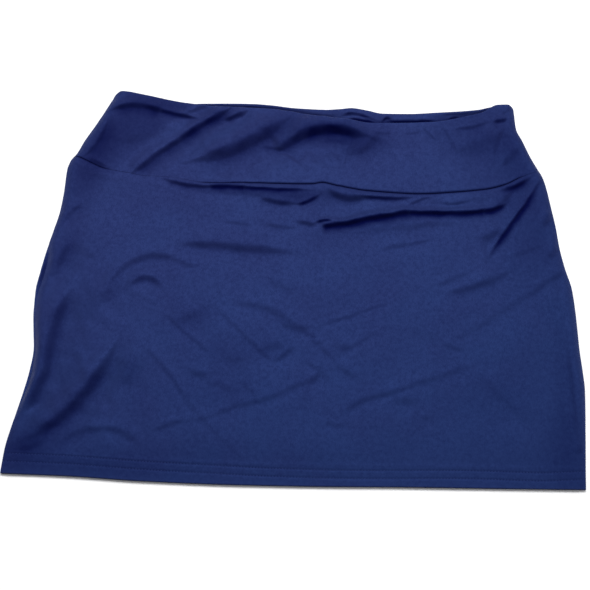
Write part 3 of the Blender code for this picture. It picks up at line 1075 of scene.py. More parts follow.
@dataclass(frozen=True)
class LaidBack:
    """How the back lies on the floor.

    Args:
        most_crease: the highest that a crease lifts it.
        side_gap: how far in from its sides its creases start.
        side_run: width over which they grow from there.
        hem_gap: how far over the hem's edge they start.
        hem_run: height over which they grow from there.
        waist_gap: how far under the front's waist edge they end.
        waist_run: height over which they fade towards it.
        seam_hold: share of a crease that the yoke seam holds down.
        seam_reach: reach of that hold to each side.
        side_curl: how far its sides curl off the floor.
        side_curl_reach: width over which they do.
        waist_curl: how far its waist edge stands up behind the front's.
        waist_curl_run: width over which that grows in from its sides.
        least_strip: least width of the strip that shows over the front's waist edge.
        most_dip: the most that a crease in that strip takes off its thickness.
        most_swell: the most that a crease adds to it.
        strip_run: height over which those creases grow from the front's waist edge.
    """

    most_crease: float = 0.9
    side_gap: float = 6.0
    side_run: float = 16.0
    hem_gap: float = 18.0
    hem_run: float = 14.0
    waist_gap: float = 4.0
    waist_run: float = 12.0
    seam_hold: float = 0.8
    seam_reach: float = 5.0
    side_curl: float = 0.4
    side_curl_reach: float = 2.6
    waist_curl: float = 1.8
    waist_curl_run: float = 30.0
    least_strip: float = 1.0
    most_dip: float = 0.5
    most_swell: float = 1.0
    strip_run: float = 1.5

    def bottom(self, x: Values, y: Values, folds: Values) -> Values:
        """How far the back stands off the floor.

        Args:
            x: places across.
            y: places up the skirt.
            folds: rise of the back's folds there.

        Returns:
            The heights.
        """
        from_side = np.minimum(x - OUTLINE.left(y), OUTLINE.right(y) - x)
        clear = ease((from_side - self.side_gap) / self.side_run)
        clear = clear * ease((y - OUTLINE.hem(x) - self.hem_gap) / self.hem_run)
        clear = clear * ease((OUTLINE.front_waist(x) - self.waist_gap - y) / self.waist_run)
        near_seam = 1 - self.seam_hold * bell(y - OUTLINE.back_seam(x), self.seam_reach)
        creased = np.clip(folds, 0, self.most_crease) * clear * near_seam
        side = self.side_curl * (1 - ease(from_side / self.side_curl_reach))
        strip = np.clip(OUTLINE.back_waist(x) - OUTLINE.front_waist(x), self.least_strip, None)
        behind = ease((y - OUTLINE.front_waist(x)) / strip) * ease(from_side / self.waist_curl_run)
        return creased + side + self.waist_curl * behind

    def strip_swell(self, x: Values, y: Values) -> Values:
        """What the creases in the strip over the front's waist add to its thickness."""
        rise, _ = Creases(STRIP_FOLDS).at(x, y)
        rise = np.clip(rise, -self.most_dip, self.most_swell)
        return rise * ease((y - OUTLINE.front_waist(x)) / self.strip_run)


@dataclass(frozen=True)
class PaintedShading:
    """Painted shade and highlights on the cloth, besides the painted shade of its own folds.

    Args:
        rim_calm: how much less the broad painted shades show in the painted bright rims.
        seam: how strong the painted shade in the yoke seam is, where it is drawn in fully.
        seam_spread: reach of that to each side.
        edge_spread: how far in from a folded edge the cloth is rubbed.
        side_strip: painted shadow on the back where it shows past the front's left side.
        side_strip_y: where that is darkest, up the skirt.
        side_strip_reach: how far up and down it reaches.
        side_strip_gap: how far in from the side it starts.
        side_strip_run: width over which it grows from there.
        side_strip_width: how far in from the side it ends.
        side_strip_fall: width over which it fades to there.
        waist_strip_folds: strength of the folds' painted shade in the strip over the front's waist.
        waist_strip: painted shadow in that strip along the front's waist edge.
        waist_strip_gap: how far over that edge it is darkest.
        waist_strip_run: height over which it fades from there.
    """

    rim_calm: float = 0.9
    seam: float = 0.95
    seam_spread: float = 0.9
    edge_spread: float = 1.1
    side_strip: float = 0.7
    side_strip_y: float = 2.0
    side_strip_reach: float = 17.0
    side_strip_gap: float = 0.4
    side_strip_run: float = 1.2
    side_strip_width: float = 8.0
    side_strip_fall: float = 4.0
    waist_strip_folds: float = 1.2
    waist_strip: float = 0.62
    waist_strip_gap: float = 1.2
    waist_strip_run: float = 5.0

    def on_back(self, x: Values, y: Values, is_yoke: bool) -> Values:
        """Painted shade of the back, which shows at its left side and over the front's waist.

        Args:
            x: places across.
            y: places up the skirt.
            is_yoke: whether the piece is the yoke.

        Returns:
            The painted shade at each place, from 0 to 1.
        """
        if not is_yoke:
            in_side = x - OUTLINE.left(y)
            tucked = self.side_strip * bell(y - self.side_strip_y, self.side_strip_reach)
            tucked = tucked * ease((in_side - self.side_strip_gap) / self.side_strip_run)
            return tucked * ease((self.side_strip_width - in_side) / self.side_strip_fall)
        _, folds = Creases(STRIP_FOLDS).at(x, y)
        over_front = y - OUTLINE.front_waist(x)
        away = ease((over_front - self.waist_strip_gap) / self.waist_strip_run)
        return np.clip(self.waist_strip_folds * folds + self.waist_strip * (1 - away), 0, 1)

    def on_front(self, x: Values, y: Values, creases: Values, rim: Values) -> Values:
        """Painted shade of the front, and its painted highlights.

        Args:
            x: places across.
            y: places up the skirt.
            creases: painted shade of its folds there.
            rim: strength of the painted highlight on the rolled cloth beside its sides.

        Returns:
            The painted shade at each place, from 0 to 1, or below nought painted highlight.
        """
        bright = 1 - creases
        # broad painted shade patches, and painted highlights where depth is below nought
        for lie in PAINTED_PATCHES:
            turn = math.radians(lie.turn)
            off_x, off_y = x - lie.x, y - lie.y
            along = (off_x * math.cos(turn) + off_y * math.sin(turn)) / lie.half_width
            across = (off_y * math.cos(turn) - off_x * math.sin(turn)) / lie.half_height
            depth = lie.depth * (1 - self.rim_calm * rim)
            bright = bright * (1 - depth * np.exp(-(along**2) - across**2))
        off_seam = OUTLINE.front_seam(x) - y
        bright = bright * (1 - self.seam * OUTLINE.seam_draw(x) * bell(off_seam, self.seam_spread))
        return 1 - bright


def into_hem(x: Values, y: Values, run: float) -> Values:
    """1 in the turned-up hem, falling to 0 over the given run above it."""
    return ease((OUTLINE.hem(x) + CLOTH.hem_depth + run - y) / run)


def needle_grooves(x: Values, y: Values) -> Values:
    """Depth of the needle rows' grooves."""
    lower = y - OUTLINE.hem(x) - OUTLINE.needle_row(x)
    upper = lower - STITCHING.gauge
    pulled = bell(lower, STITCHING.groove_spread) + bell(upper, STITCHING.groove_spread)
    return STITCHING.groove * pulled


LAID_FRONT = LaidFront()
LAID_BACK = LaidBack()
PAINTED_SHADING = PaintedShading()


# --------------------------------------------------------------------------------------
# Finishes
# --------------------------------------------------------------------------------------


def linear(red: float, green: float, blue: float) -> tuple[float, float, float, float]:
    """A colour of 0 to 255 on screen, as the linear colour that a shader takes."""

    def one(level: float) -> float:
        """One channel, made linear."""
        share = level / 255
        return share / 12.92 if share <= 0.04045 else ((share + 0.055) / 1.055) ** 2.4

    return one(red), one(green), one(blue), 1.0


@dataclass(frozen=True)
class Lumps:
    """One layer of soft noise.

    Args:
        scale: how many lumps to a metre.
        detail: how many finer layers it has.
        weight: how strongly it shows, as a share of shade or as relief in millimetres.
    """

    scale: float
    detail: float
    weight: float


class Graph:
    """A material's nodes, added and joined by name."""

    def __init__(self, name: str) -> None:
        """Start a material with only its shader and output.

        Args:
            name: the material's name.
        """
        self.material = bpy.data.materials.new(name)
        self.material.use_nodes = True
        self.tree = self.material.node_tree
        self.shader = self.tree.nodes["Principled BSDF"]

    def add(self, kind: str, **settings: object) -> bpy.types.Node:
        """A new node with its settings."""
        node = self.tree.nodes.new(kind)
        for name, value in settings.items():
            setattr(node, name, value)
        return node

    def feed(self, socket: Socket, value: object) -> None:
        """Join an output to a socket, or set the socket to a number or colour."""
        if isinstance(value, Socket):
            self.tree.links.new(value, socket)
        else:
            socket.default_value = value

    def math(self, operation: str, *values: object) -> Socket:
        """The result of a Math node on one to three values."""
        node = self.add("ShaderNodeMath", operation=operation)
        for socket, value in zip(node.inputs, values):
            self.feed(socket, value)
        return node.outputs[0]

    def limit(self, value: object, low: float = 0.0, high: float = 1.0) -> Socket:
        """A value kept between two numbers."""
        return self.math("MINIMUM", self.math("MAXIMUM", value, low), high)

    def uv(self, name: str) -> tuple[Socket, Socket]:
        """The two coordinates of one of the piece's own maps."""
        node = self.add("ShaderNodeUVMap", uv_map=name)
        split = self.add("ShaderNodeSeparateXYZ")
        self.feed(split.inputs[0], node.outputs[0])
        return split.outputs[0], split.outputs[1]

    def attribute(self, name: str) -> Socket:
        """The value of one of the piece's own attributes."""
        return self.add("ShaderNodeAttribute", attribute_name=name).outputs["Fac"]

    def noise(self, vector: object, lumps: Lumps) -> Socket:
        """Soft noise of 0 to 1.

        Args:
            vector: where to read it.
            lumps: its scale and detail.

        Returns:
            The noise.
        """
        node = self.add("ShaderNodeTexNoise")
        self.feed(node.inputs["Vector"], vector)
        self.feed(node.inputs["Scale"], lumps.scale)
        self.feed(node.inputs["Detail"], lumps.detail)
        return node.outputs["Fac"]

    def mix(self, share: object, first: object, second: object) -> Socket:
        """A blend of two colours."""
        node = self.add("ShaderNodeMix", data_type="RGBA")
        sockets = {socket.identifier: socket for socket in node.inputs}
        self.feed(sockets["Factor_Float"], share)
        self.feed(sockets["A_Color"], first)
        self.feed(sockets["B_Color"], second)
        return next(out for out in node.outputs if out.identifier == "Result_Color")

    def bump(self, height: object, depth: float, below: object = None) -> Socket:
        """A normal raised by a height of 0 to 1.

        Args:
            height: the height.
            depth: what a height of 1 stands for, in millimetres.
            below: the normal that it is added to.

        Returns:
            The new normal.
        """
        node = self.add("ShaderNodeBump")
        self.feed(node.inputs["Strength"], 1.0)
        self.feed(node.inputs["Distance"], depth * METRES_PER_MM)
        self.feed(node.inputs["Height"], height)
        if below is not None:
            self.feed(node.inputs["Normal"], below)
        return node.outputs[0]


@dataclass(frozen=True)
class KnitFinish:
    """A smooth fine-gauge knit of nylon and spandex.

    Args:
        face: the colour of the flat cloth.
        violet: its tint to the upper left, where it drifts a little to violet.
        deep: the colour of painted shade, in creases, the yoke seam, needle holes and shaded strips.
        worn_and_lit: the colour along folded edges, where the yarn is rubbed and stretched,
        which also carries the painted highlights of the rims and bright patches.
        gloss_tint: the colour of its low satin gloss.
        gloss: strength of that gloss.
        roughness: of the yarn's surface.
        roughness_spread: how unevenly rough it is.
        deep_roughness: how much rougher it is where its painted shade is full.
        sheen: weight of the soft glow at a low angle.
        sheen_tint: the colour of that glow.
        sheen_roughness: how wide it spreads.
        wale: width of one column of loops, in millimetres.
        course: height of one row of loops, in millimetres.
        loop_depth: relief of the loops, in millimetres.
        course_relief: share of that relief that the rows take.
        leg_slant: how far a loop's legs slant, in rows.
        base_shade: how far the flat cloth goes towards the deep colour.
        clouds: its slow unevenness.
        mottle: its fine unevenness.
        heather: the unevenness of its yarn.
        heather_scale: how that is stretched along the loops' columns.
        rumple: its soft relief.
        grain: its fine relief.
        crease_calm: how much less uneven the cloth is in a crease.
        crease_painted_shade: how far the painted shade held as crease takes the colour to the deep one.
        hole_painted_shade: how far the painted shade of a needle hole takes it there.
        hole_relief: relief of a needle hole, in millimetres.
        violet_rates: how fast it drifts to violet across and up, to a metre.
        edge_wear_and_highlight: how far the colour goes to worn_and_lit, with edge wear and painted
            highlights.
    """

    face: tuple = linear(25, 38.9, 80)
    violet: tuple = linear(30.5, 37.8, 80)
    deep: tuple = linear(0, 0, 46)
    worn_and_lit: tuple = linear(34, 47, 93)
    gloss_tint: tuple = linear(110, 145, 255)
    gloss: float = 0.2
    roughness: float = 0.5
    roughness_spread: float = 0.1
    deep_roughness: float = 0.35
    sheen: float = 0.04
    sheen_tint: tuple = linear(150, 168, 232)
    sheen_roughness: float = 0.42
    wale: float = 0.62
    course: float = 0.5
    loop_depth: float = 0.012
    course_relief: float = 0.3
    leg_slant: float = 0.5
    base_shade: float = 0.1
    clouds: Lumps = Lumps(22.0, 3.0, 0.16)
    mottle: Lumps = Lumps(300.0, 2.0, 0.5)
    heather: Lumps = Lumps(1500.0, 2.0, 0.62)
    heather_scale: tuple[float, float, float] = (1.0, 0.4, 1.0)
    rumple: Lumps = Lumps(85.0, 3.0, 0.12)
    grain: Lumps = Lumps(900.0, 2.0, 0.012)
    crease_calm: float = 0.85
    crease_painted_shade: float = 0.96
    hole_painted_shade: float = 0.75
    hole_relief: float = 0.25
    violet_rates: tuple[float, float] = (-1.4, 2.8)
    edge_wear_and_highlight: float = 0.6

    def loops(self, graph: Graph) -> Socket:
        """Height of the knit loops: two slanting legs to a wale, stacked in courses."""
        across, up = graph.uv("cut")
        column = graph.math("FRACT", graph.math("DIVIDE", across, self.wale))
        leg = graph.math("MULTIPLY", graph.math("ABSOLUTE", graph.math("SUBTRACT", column, 0.5)), 2.0)
        off_leg = graph.math("MULTIPLY", graph.math("SUBTRACT", leg, 0.5), 2.0)
        body = graph.math("SUBTRACT", 1.0, graph.math("POWER", graph.math("ABSOLUTE", off_leg), 2.0))
        slant = graph.math("MULTIPLY", leg, self.leg_slant)
        row = graph.math("ADD", graph.math("DIVIDE", up, self.course), slant)
        wave = graph.math("COSINE", graph.math("MULTIPLY", row, 2 * math.pi))
        loop = graph.math("MULTIPLY_ADD", wave, self.course_relief, 1 - self.course_relief)
        return graph.math("MULTIPLY", body, loop)

    def holes(self, graph: Graph) -> Socket:
        """1 in a needle hole of the hem's two rows, less along their lines, 0 off them."""
        along, up = graph.uv("rows")
        off_hole = graph.math("SUBTRACT", graph.math("FRACT", along), 0.5)
        pitches = STITCHING.pitch / STITCHING.hole_half_width
        off_hole = graph.math("MULTIPLY", off_hole, pitches)
        marks = []
        for row in (0.0, STITCHING.gauge):
            off = graph.math("DIVIDE", graph.math("SUBTRACT", up, row), STITCHING.hole_half_height)
            line = graph.math("EXPONENT", graph.math("MULTIPLY", graph.math("POWER", off, 2.0), -1.0))
            dot = graph.math("EXPONENT", graph.math("MULTIPLY", graph.math("POWER", off_hole, 2.0), -1.0))
            shade = graph.math("MULTIPLY_ADD", dot, STITCHING.hole_shade, STITCHING.row_shade)
            marks.append(graph.math("MULTIPLY", line, shade))
        return graph.limit(graph.math("MULTIPLY", graph.math("ADD", *marks), graph.attribute("sewn")))

    def depth(self, graph: Graph, place: Socket, clouds: Socket, hole: Socket) -> Socket:
        """How far the colour goes towards the deep one: painted shade, over the cloth's own unevenness.

        Args:
            graph: the material's nodes.
            place: where the cloth is.
            clouds: its slow unevenness.
            hole: its needle holes.

        Returns:
            The share, from 0 to 1.
        """
        stretched = graph.add("ShaderNodeMapping")
        stretched.inputs["Scale"].default_value = self.heather_scale
        graph.feed(stretched.inputs["Vector"], place)
        layers = (
            (clouds, self.clouds),
            (graph.noise(place, self.mottle), self.mottle),
            (graph.noise(stretched.outputs[0], self.heather), self.heather),
        )
        uneven = self.base_shade
        for noise, lumps in layers:
            uneven = graph.math("MULTIPLY_ADD", graph.math("SUBTRACT", noise, 0.5), lumps.weight, uneven)
        crease = graph.attribute("crease")
        calm = graph.math("MULTIPLY_ADD", crease, -self.crease_calm, 1.0)
        deep = graph.math("MULTIPLY_ADD", crease, self.crease_painted_shade, graph.math("MULTIPLY", uneven, calm))
        return graph.limit(graph.math("MAXIMUM", deep, graph.math("MULTIPLY", hole, self.hole_painted_shade)))

    def colour(self, graph: Graph, place: Socket, clouds: Socket, deep: Socket) -> Socket:
        """The cloth's colour: violet drift, rubbed edges, painted highlights, painted shade.

        Args:
            graph: the material's nodes.
            place: where the cloth is.
            clouds: its slow unevenness.
            deep: how far the colour goes towards the deep one, which is painted shade.

        Returns:
            The colour.
        """
        split = graph.add("ShaderNodeSeparateXYZ")
        graph.feed(split.inputs[0], place)
        drift = clouds
        for axis, rate in zip(split.outputs, self.violet_rates):
            drift = graph.math("MULTIPLY_ADD", axis, rate, drift)
        face = graph.mix(graph.limit(drift), self.face, self.violet)
        # rubbed edges, with the painted highlights of rims and bright patches
        face = graph.mix(graph.math("MULTIPLY", graph.attribute("edge"), self.edge_wear_and_highlight), face, self.worn_and_lit)
        # painted shade, mixed towards the deep colour
        return graph.mix(deep, face, self.deep)

    def relief(self, graph: Graph, place: Socket, hole: Socket) -> Socket:
        """The cloth's normal, with its rumples, grain, loops and needle holes.

        Args:
            graph: the material's nodes.
            place: where the cloth is.
            hole: its needle holes.

        Returns:
            The normal.
        """
        rumple = graph.bump(graph.noise(place, self.rumple), self.rumple.weight)
        grain = graph.bump(graph.noise(place, self.grain), self.grain.weight, rumple)
        knit = graph.bump(self.loops(graph), self.loop_depth, grain)
        return graph.bump(graph.math("SUBTRACT", 1.0, hole), self.hole_relief, knit)

    def material(self, name: str) -> bpy.types.Material:
        """The finish as a material.

        Args:
            name: the material's name.

        Returns:
            The material.
        """
        graph = Graph(name)
        place = graph.add("ShaderNodeTexCoord").outputs["Object"]
        clouds = graph.noise(place, self.clouds)
        hole = self.holes(graph)
        # deep carries the painted shade of folds, seam and needle holes, over random unevenness
        deep = self.depth(graph, place, clouds, hole)
        even = self.roughness - 0.5 * self.roughness_spread
        rough = graph.math("MULTIPLY_ADD", clouds, self.roughness_spread, even)
        rough = graph.math("MULTIPLY_ADD", deep, self.deep_roughness, rough)
        graph.feed(graph.shader.inputs["Base Color"], self.colour(graph, place, clouds, deep))
        graph.feed(graph.shader.inputs["Normal"], self.relief(graph, place, hole))
        graph.feed(graph.shader.inputs["Roughness"], graph.limit(rough))
        graph.shader.inputs["Specular IOR Level"].default_value = self.gloss
        graph.shader.inputs["Specular Tint"].default_value = self.gloss_tint
        graph.shader.inputs["Sheen Weight"].default_value = self.sheen
        graph.shader.inputs["Sheen Roughness"].default_value = self.sheen_roughness
        graph.shader.inputs["Sheen Tint"].default_value = self.sheen_tint
        return graph.material


@dataclass(frozen=True)
class ThreadFinish:
    """Twisted polyester sewing thread.

    Args:
        colour: its colour.
        gloss_tint: the colour of its gloss.
        roughness: of its surface.
        fibre: its fibres, in colour and relief.
        dark_share: what is left of its colour between them.
    """

    colour: tuple = linear(33, 45, 96)
    gloss_tint: tuple = linear(140, 165, 255)
    roughness: float = 0.5
    fibre: Lumps = Lumps(2600.0, 2.0, 0.05)
    dark_share: float = 0.6

    def material(self, name: str) -> bpy.types.Material:
        """The finish as a material.

        Args:
            name: the material's name.

        Returns:
            The material.
        """
        graph = Graph(name)
        place = graph.add("ShaderNodeTexCoord").outputs["Object"]
        fibre = graph.noise(place, self.fibre)
        dark = tuple(self.dark_share * level for level in self.colour[:3]) + (1.0,)
        graph.feed(graph.shader.inputs["Base Color"], graph.mix(fibre, dark, self.colour))
        graph.feed(graph.shader.inputs["Normal"], graph.bump(fibre, self.fibre.weight))
        graph.shader.inputs["Roughness"].default_value = self.roughness
        graph.shader.inputs["Specular Tint"].default_value = self.gloss_tint
        return graph.material


@dataclass(frozen=True)
class FloorFinish:
    """Matt pale paper.

    Args:
        colour: its colour.
        roughness: of its surface.
        grain: its relief.
    """

    colour: tuple = linear(246, 246, 247)
    roughness: float = 0.9
    grain: Lumps = Lumps(400.0, 2.0, 0.02)

    def material(self, name: str) -> bpy.types.Material:
        """The finish as a material.

        Args:
            name: the material's name.

        Returns:
            The material.
        """
        graph = Graph(name)
        place = graph.add("ShaderNodeTexCoord").outputs["Object"]
        relief = graph.bump(graph.noise(place, self.grain), self.grain.weight)
        graph.feed(graph.shader.inputs["Normal"], relief)
        graph.shader.inputs["Base Color"].default_value = self.colour
        graph.shader.inputs["Roughness"].default_value = self.roughness
        return graph.material


# --------------------------------------------------------------------------------------
# Pieces
# --------------------------------------------------------------------------------------


def deselect_all() -> None:
    """Leave nothing selected, so that an operator acts only on the new piece."""
    for thing in bpy.context.selected_objects:
        thing.select_set(False)


def stations(length: float, cell: float, near: Sequence[float], far: Sequence[float]) -> Values:
    """Shares of a length at which a panel has its rows or columns.

    Args:
        length: the length.
        cell: the usual distance between stations.
        near: distances of the close stations from the near end, from nought up.
        far: distances of the close stations from the far end, from nought up.

    Returns:
        The shares, from 0 to 1.
    """
    start, end = near[-1], length - far[-1]
    count = max(2, round((end - start) / cell))
    middle = np.linspace(start, end, count + 1)
    places = np.concatenate((near[:-1], middle, length - np.array(far[:-1])[::-1]))
    return places / length


def rounding(distance: Values, width: float) -> Values:
    """How far a rounded edge has fallen away this far in from it, from 0 to 1."""
    inward = np.clip(1 - distance / width, 0, 1)
    return 1 - np.sqrt(1 - inward * inward)


@dataclass
class Panel:
    """One cut piece of cloth, laid in place.

    Args:
        name: the piece's name.
        node: the solid that it stands for.
        slot: a name for its finish's slot, handed on to its stitches.
        ply: front or back.
        low: its lower edge.
        high: its upper edge.
        wall: its thickness at each place.
        cell: usual size of its mesh's cells.
        low_stations: close rows by its lower edge.
        high_stations: close rows by its upper edge.
        flat: the width and height of its cut that shows; not used.
        rests_on: what it lies on; not used.
        is_yoke: whether it is a yoke, folded at its upper edge and round at its corners.
        side_stations: close columns by its sides.
        left_corner: radius of a yoke's upper left corner.
        right_corner: radius of its upper right corner.
        passes: rounds of fitting places between the curved sides and ends.
        ring_places: places along each side and end when its area is taken.
    """

    name: str
    node: str
    slot: str
    ply: Ply
    low: Curve
    high: Curve
    wall: Surface
    cell: float
    low_stations: Sequence[float]
    high_stations: Sequence[float]
    flat: tuple[float, float]
    rests_on: Sequence[str]
    is_yoke: bool
    side_stations: Sequence[float] = (0.0, 0.12, 0.3, 0.55, 0.9, 1.6, 2.6)
    left_corner: float = 4.0
    right_corner: float = 4.5
    passes: int = 10
    ring_places: int = 200

    def left(self, y: Values) -> Values:
        """The piece's left side."""
        return OUTLINE.front_left(y) if self.ply is Ply.FRONT else OUTLINE.left(y)

    def places(self, across: Values, up: Values) -> tuple[Values, Values]:
        """Places in the piece from shares of its width and height.

        Args:
            across: shares of the width.
            up: shares of the height.

        Returns:
            The places across and up the skirt.
        """
        x = np.zeros(across.shape)
        for _ in range(self.passes):
            y = self.low(x) * (1 - up) + self.high(x) * up
            x = self.left(y) * (1 - across) + OUTLINE.right(y) * across
        return x, y

    def round_corners(self, x: Values, y: Values) -> tuple[Values, Values]:
        """Draw a yoke's upper corners in to a round.

        Args:
            x: places across.
            y: places up the skirt.

        Returns:
            The places, moved.
        """
        if not self.is_yoke:
            return x, y
        from_top = self.high(x) - y
        off_left, off_right = x - self.left(y), OUTLINE.right(y) - x
        corners = ((1, off_left, self.left_corner), (-1, off_right, self.right_corner))
        for sign, from_side, radius in corners:
            high = np.clip(1 - from_top / radius, 0, 1)
            out = np.clip(1 - from_side / radius, 0, 1)
            in_x = out * (1 - np.sqrt(1 - 0.5 * high * high))
            in_y = high * (1 - np.sqrt(1 - 0.5 * out * out))
            x = x + sign * radius * in_x
            y = y - radius * in_y
        return x, y

    def from_folded_edge(self, x: Values, y: Values) -> Values:
        """Distance in from the nearest side, hem or waist edge."""
        sides = np.minimum(x - self.left(y), OUTLINE.right(y) - x)
        end = self.high(x) - y if self.is_yoke else y - self.low(x)
        return np.clip(np.minimum(sides, end), 0, None)

    def rim(self, x: Values, y: Values) -> Values:
        """Strength of the painted highlight on the rolled cloth beside the sides, from 0 to 1."""
        left = OUTLINE.left_rim(y) * bell(x - self.left(y), LAID_FRONT.rim_width)
        right = OUTLINE.right_rim(y) * bell(OUTLINE.right(y) - x, LAID_FRONT.rim_width)
        return left + right

    def from_seam(self, x: Values, y: Values) -> Values:
        """Distance in from the yoke seam."""
        return np.clip(y - self.low(x) if self.is_yoke else self.high(x) - y, 0, None)

    def creases(self, x: Values, y: Values) -> tuple[Values, Values]:
        """Rise and painted shade of the piece's folds.

        Args:
            x: places across.
            y: places up the skirt.

        Returns:
            The rise and the painted shade at each place.
        """
        folds = YOKE_FOLDS + SKIRT_FOLDS if self.ply is Ply.FRONT else BACK_FOLDS
        return Creases(folds).at(x, y)

    def face(self, x: Values, y: Values, folds: Values) -> tuple[Values, Values]:
        """Height of the piece's outer face, and its thickness.

        Args:
            x: places across.
            y: places up the skirt.
            folds: rise of its folds there.

        Returns:
            The heights over the floor, and the thicknesses.
        """
        wall = self.wall(x, y)
        half = 0.5 * CLOTH.edge_share * wall
        turned = half * rounding(self.from_folded_edge(x, y), CLOTH.edge_width)
        draw = OUTLINE.seam_draw(x)
        least = CLOTH.seam_least
        seam_width = CLOTH.seam_width * (least + (1 - least) * draw)
        tucked = (CLOTH.tuck_least + CLOTH.tuck_drawn * draw) * half
        turned = np.maximum(turned, tucked * rounding(self.from_seam(x, y), seam_width))
        sunk = needle_grooves(x, y)
        if self.ply is Ply.FRONT:
            return LAID_FRONT.top(x, y, folds) - turned - sunk, wall - 2 * turned - sunk
        if self.is_yoke:
            wall = wall + LAID_BACK.strip_swell(x, y)
        return LAID_BACK.bottom(x, y, folds) + turned + sunk, wall - 2 * turned - sunk

    def area(self) -> float:
        """Area of the piece's outline, in square metres."""
        count = self.ring_places
        shares = np.linspace(0, 1, count)
        sides = [self.places(np.full(count, side), shares) for side in (0.0, 1.0)]
        ends = [self.places(shares, np.full(count, end)) for end in (0.0, 1.0)]
        (left_x, left_y), (right_x, right_y) = sides
        (low_x, low_y), (high_x, high_y) = ends
        ring_x = np.concatenate((low_x, right_x, high_x[::-1], left_x[::-1]))
        ring_y = np.concatenate((low_y, right_y, high_y[::-1], left_y[::-1]))
        twice = ring_x * np.roll(ring_y, -1) - np.roll(ring_x, -1) * ring_y
        return 0.5 * abs(float(twice.sum())) * METRES_PER_MM**2

    def shade(self, x: Values, y: Values, creases: Values) -> Values:
        """How deep the painted shade on the cloth is, from 0 to 1, or below nought painted highlight.

        Args:
            x: places across.
            y: places up the skirt.
            creases: painted shade of the folds there.

        Returns:
            The painted shade at each place.
        """
        if self.ply is Ply.BACK:
            return PAINTED_SHADING.on_back(x, y, self.is_yoke)
        return PAINTED_SHADING.on_front(x, y, creases, self.rim(x, y))

    def map_cloth(self, data: bpy.types.Mesh, x: Values, y: Values, creases: Values) -> None:
        """Give the mesh its maps: cut, needle rows, painted shade, and rubbed and painted-bright edges.

        Args:
            data: the mesh.
            x: its points' places across.
            y: its points' places up the skirt.
            creases: painted shade of the folds there.
        """
        corners = np.empty(len(data.loops), dtype=np.int32)
        data.loops.foreach_get("vertex_index", corners)
        over_row = y - OUTLINE.hem(x) - OUTLINE.needle_row(x)
        maps = {"cut": (x, y), "rows": (x / STITCHING.pitch, over_row)}
        for name, (first, second) in maps.items():
            layer = data.uv_layers.new(name=name)
            pairs = np.stack((first[corners], second[corners]), axis=1)
            layer.data.foreach_set("uv", pairs.astype(np.float32).ravel())
        # edge holds rubbed folded edges, painted rim highlights and painted highlight patches
        edge = bell(self.from_folded_edge(x, y), PAINTED_SHADING.edge_spread)
        edge = 1 - (1 - edge) * (1 - self.rim(x, y))
        shade = self.shade(x, y, creases)
        edge = 1 - (1 - edge) * (1 - np.clip(-shade, 0, 1))
        # crease holds all the painted shade; sewn sets how clearly the needle rows show
        attributes = {"crease": np.clip(shade, 0, 1), "edge": edge, "sewn": OUTLINE.rows_show(x)}
        for name, values in attributes.items():
            layer = data.attributes.new(name, "FLOAT", "POINT")
            layer.data.foreach_set("value", values.astype(np.float32))

    def build(self, finish: KnitFinish) -> bpy.types.Object:
        """Lay the piece.

        Args:
            finish: its cloth.

        Returns:
            The finished piece.
        """
        middle = np.array([0.0])
        height = float((self.high(middle) - self.low(middle))[0])
        width = float((OUTLINE.right(middle) - self.left(middle))[0])
        ups = stations(height, self.cell, self.low_stations, self.high_stations)
        acrosses = stations(width, self.cell, self.side_stations, self.side_stations)
        columns, rows = len(acrosses) - 1, len(ups) - 1
        deselect_all()
        bpy.ops.mesh.primitive_grid_add(x_subdivisions=columns, y_subdivisions=rows, size=1)
        piece = bpy.context.active_object
        piece.name = self.name
        data = piece.data
        data.name = self.name
        points = np.empty(3 * len(data.vertices))
        data.vertices.foreach_get("co", points)
        points = points.reshape(-1, 3)
        column = np.rint((points[:, 0] + 0.5) * columns).astype(int)
        row = np.rint((points[:, 1] + 0.5) * rows).astype(int)
        x, y = self.places(acrosses[column], ups[row])
        rise, creases = self.creases(x, y)
        z, wall = self.face(x, y, rise)
        laid_x, laid_y = self.round_corners(x, y)
        laid = np.stack((laid_x, laid_y, z), axis=1) * METRES_PER_MM
        data.vertices.foreach_set("co", laid.ravel())
        while data.uv_layers:
            data.uv_layers.remove(data.uv_layers[0])
        self.map_cloth(data, x, y, creases)
        data.shade_smooth()
        data.materials.append(finish.material(self.name))

        weights = piece.vertex_groups.new(name="wall")
        thickest = float(wall.max())
        levels = np.round(wall / thickest, 2)
        for level in np.unique(levels):
            members = np.nonzero(levels == level)[0].tolist()
            weights.add(members, float(level), "REPLACE")
        solid = piece.modifiers.new("wall", "SOLIDIFY")
        solid.thickness = thickest * METRES_PER_MM
        solid.offset = -1 if self.ply is Ply.FRONT else 1
        solid.vertex_group = "wall"
        bpy.ops.object.modifier_apply(modifier=solid.name)
        piece.vertex_groups.clear()
        return piece

    def declare(self, piece: bpy.types.Object, sewn_on: Sequence[bpy.types.Object]) -> None:
        """Attach the piece to the root body and hide its solid; its area is worked out, not kept.

        Args:
            piece: the finished piece.
            sewn_on: separate pieces that go with it; not used.
        """
        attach(piece, "root")
        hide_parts(self.node)
        self.area()


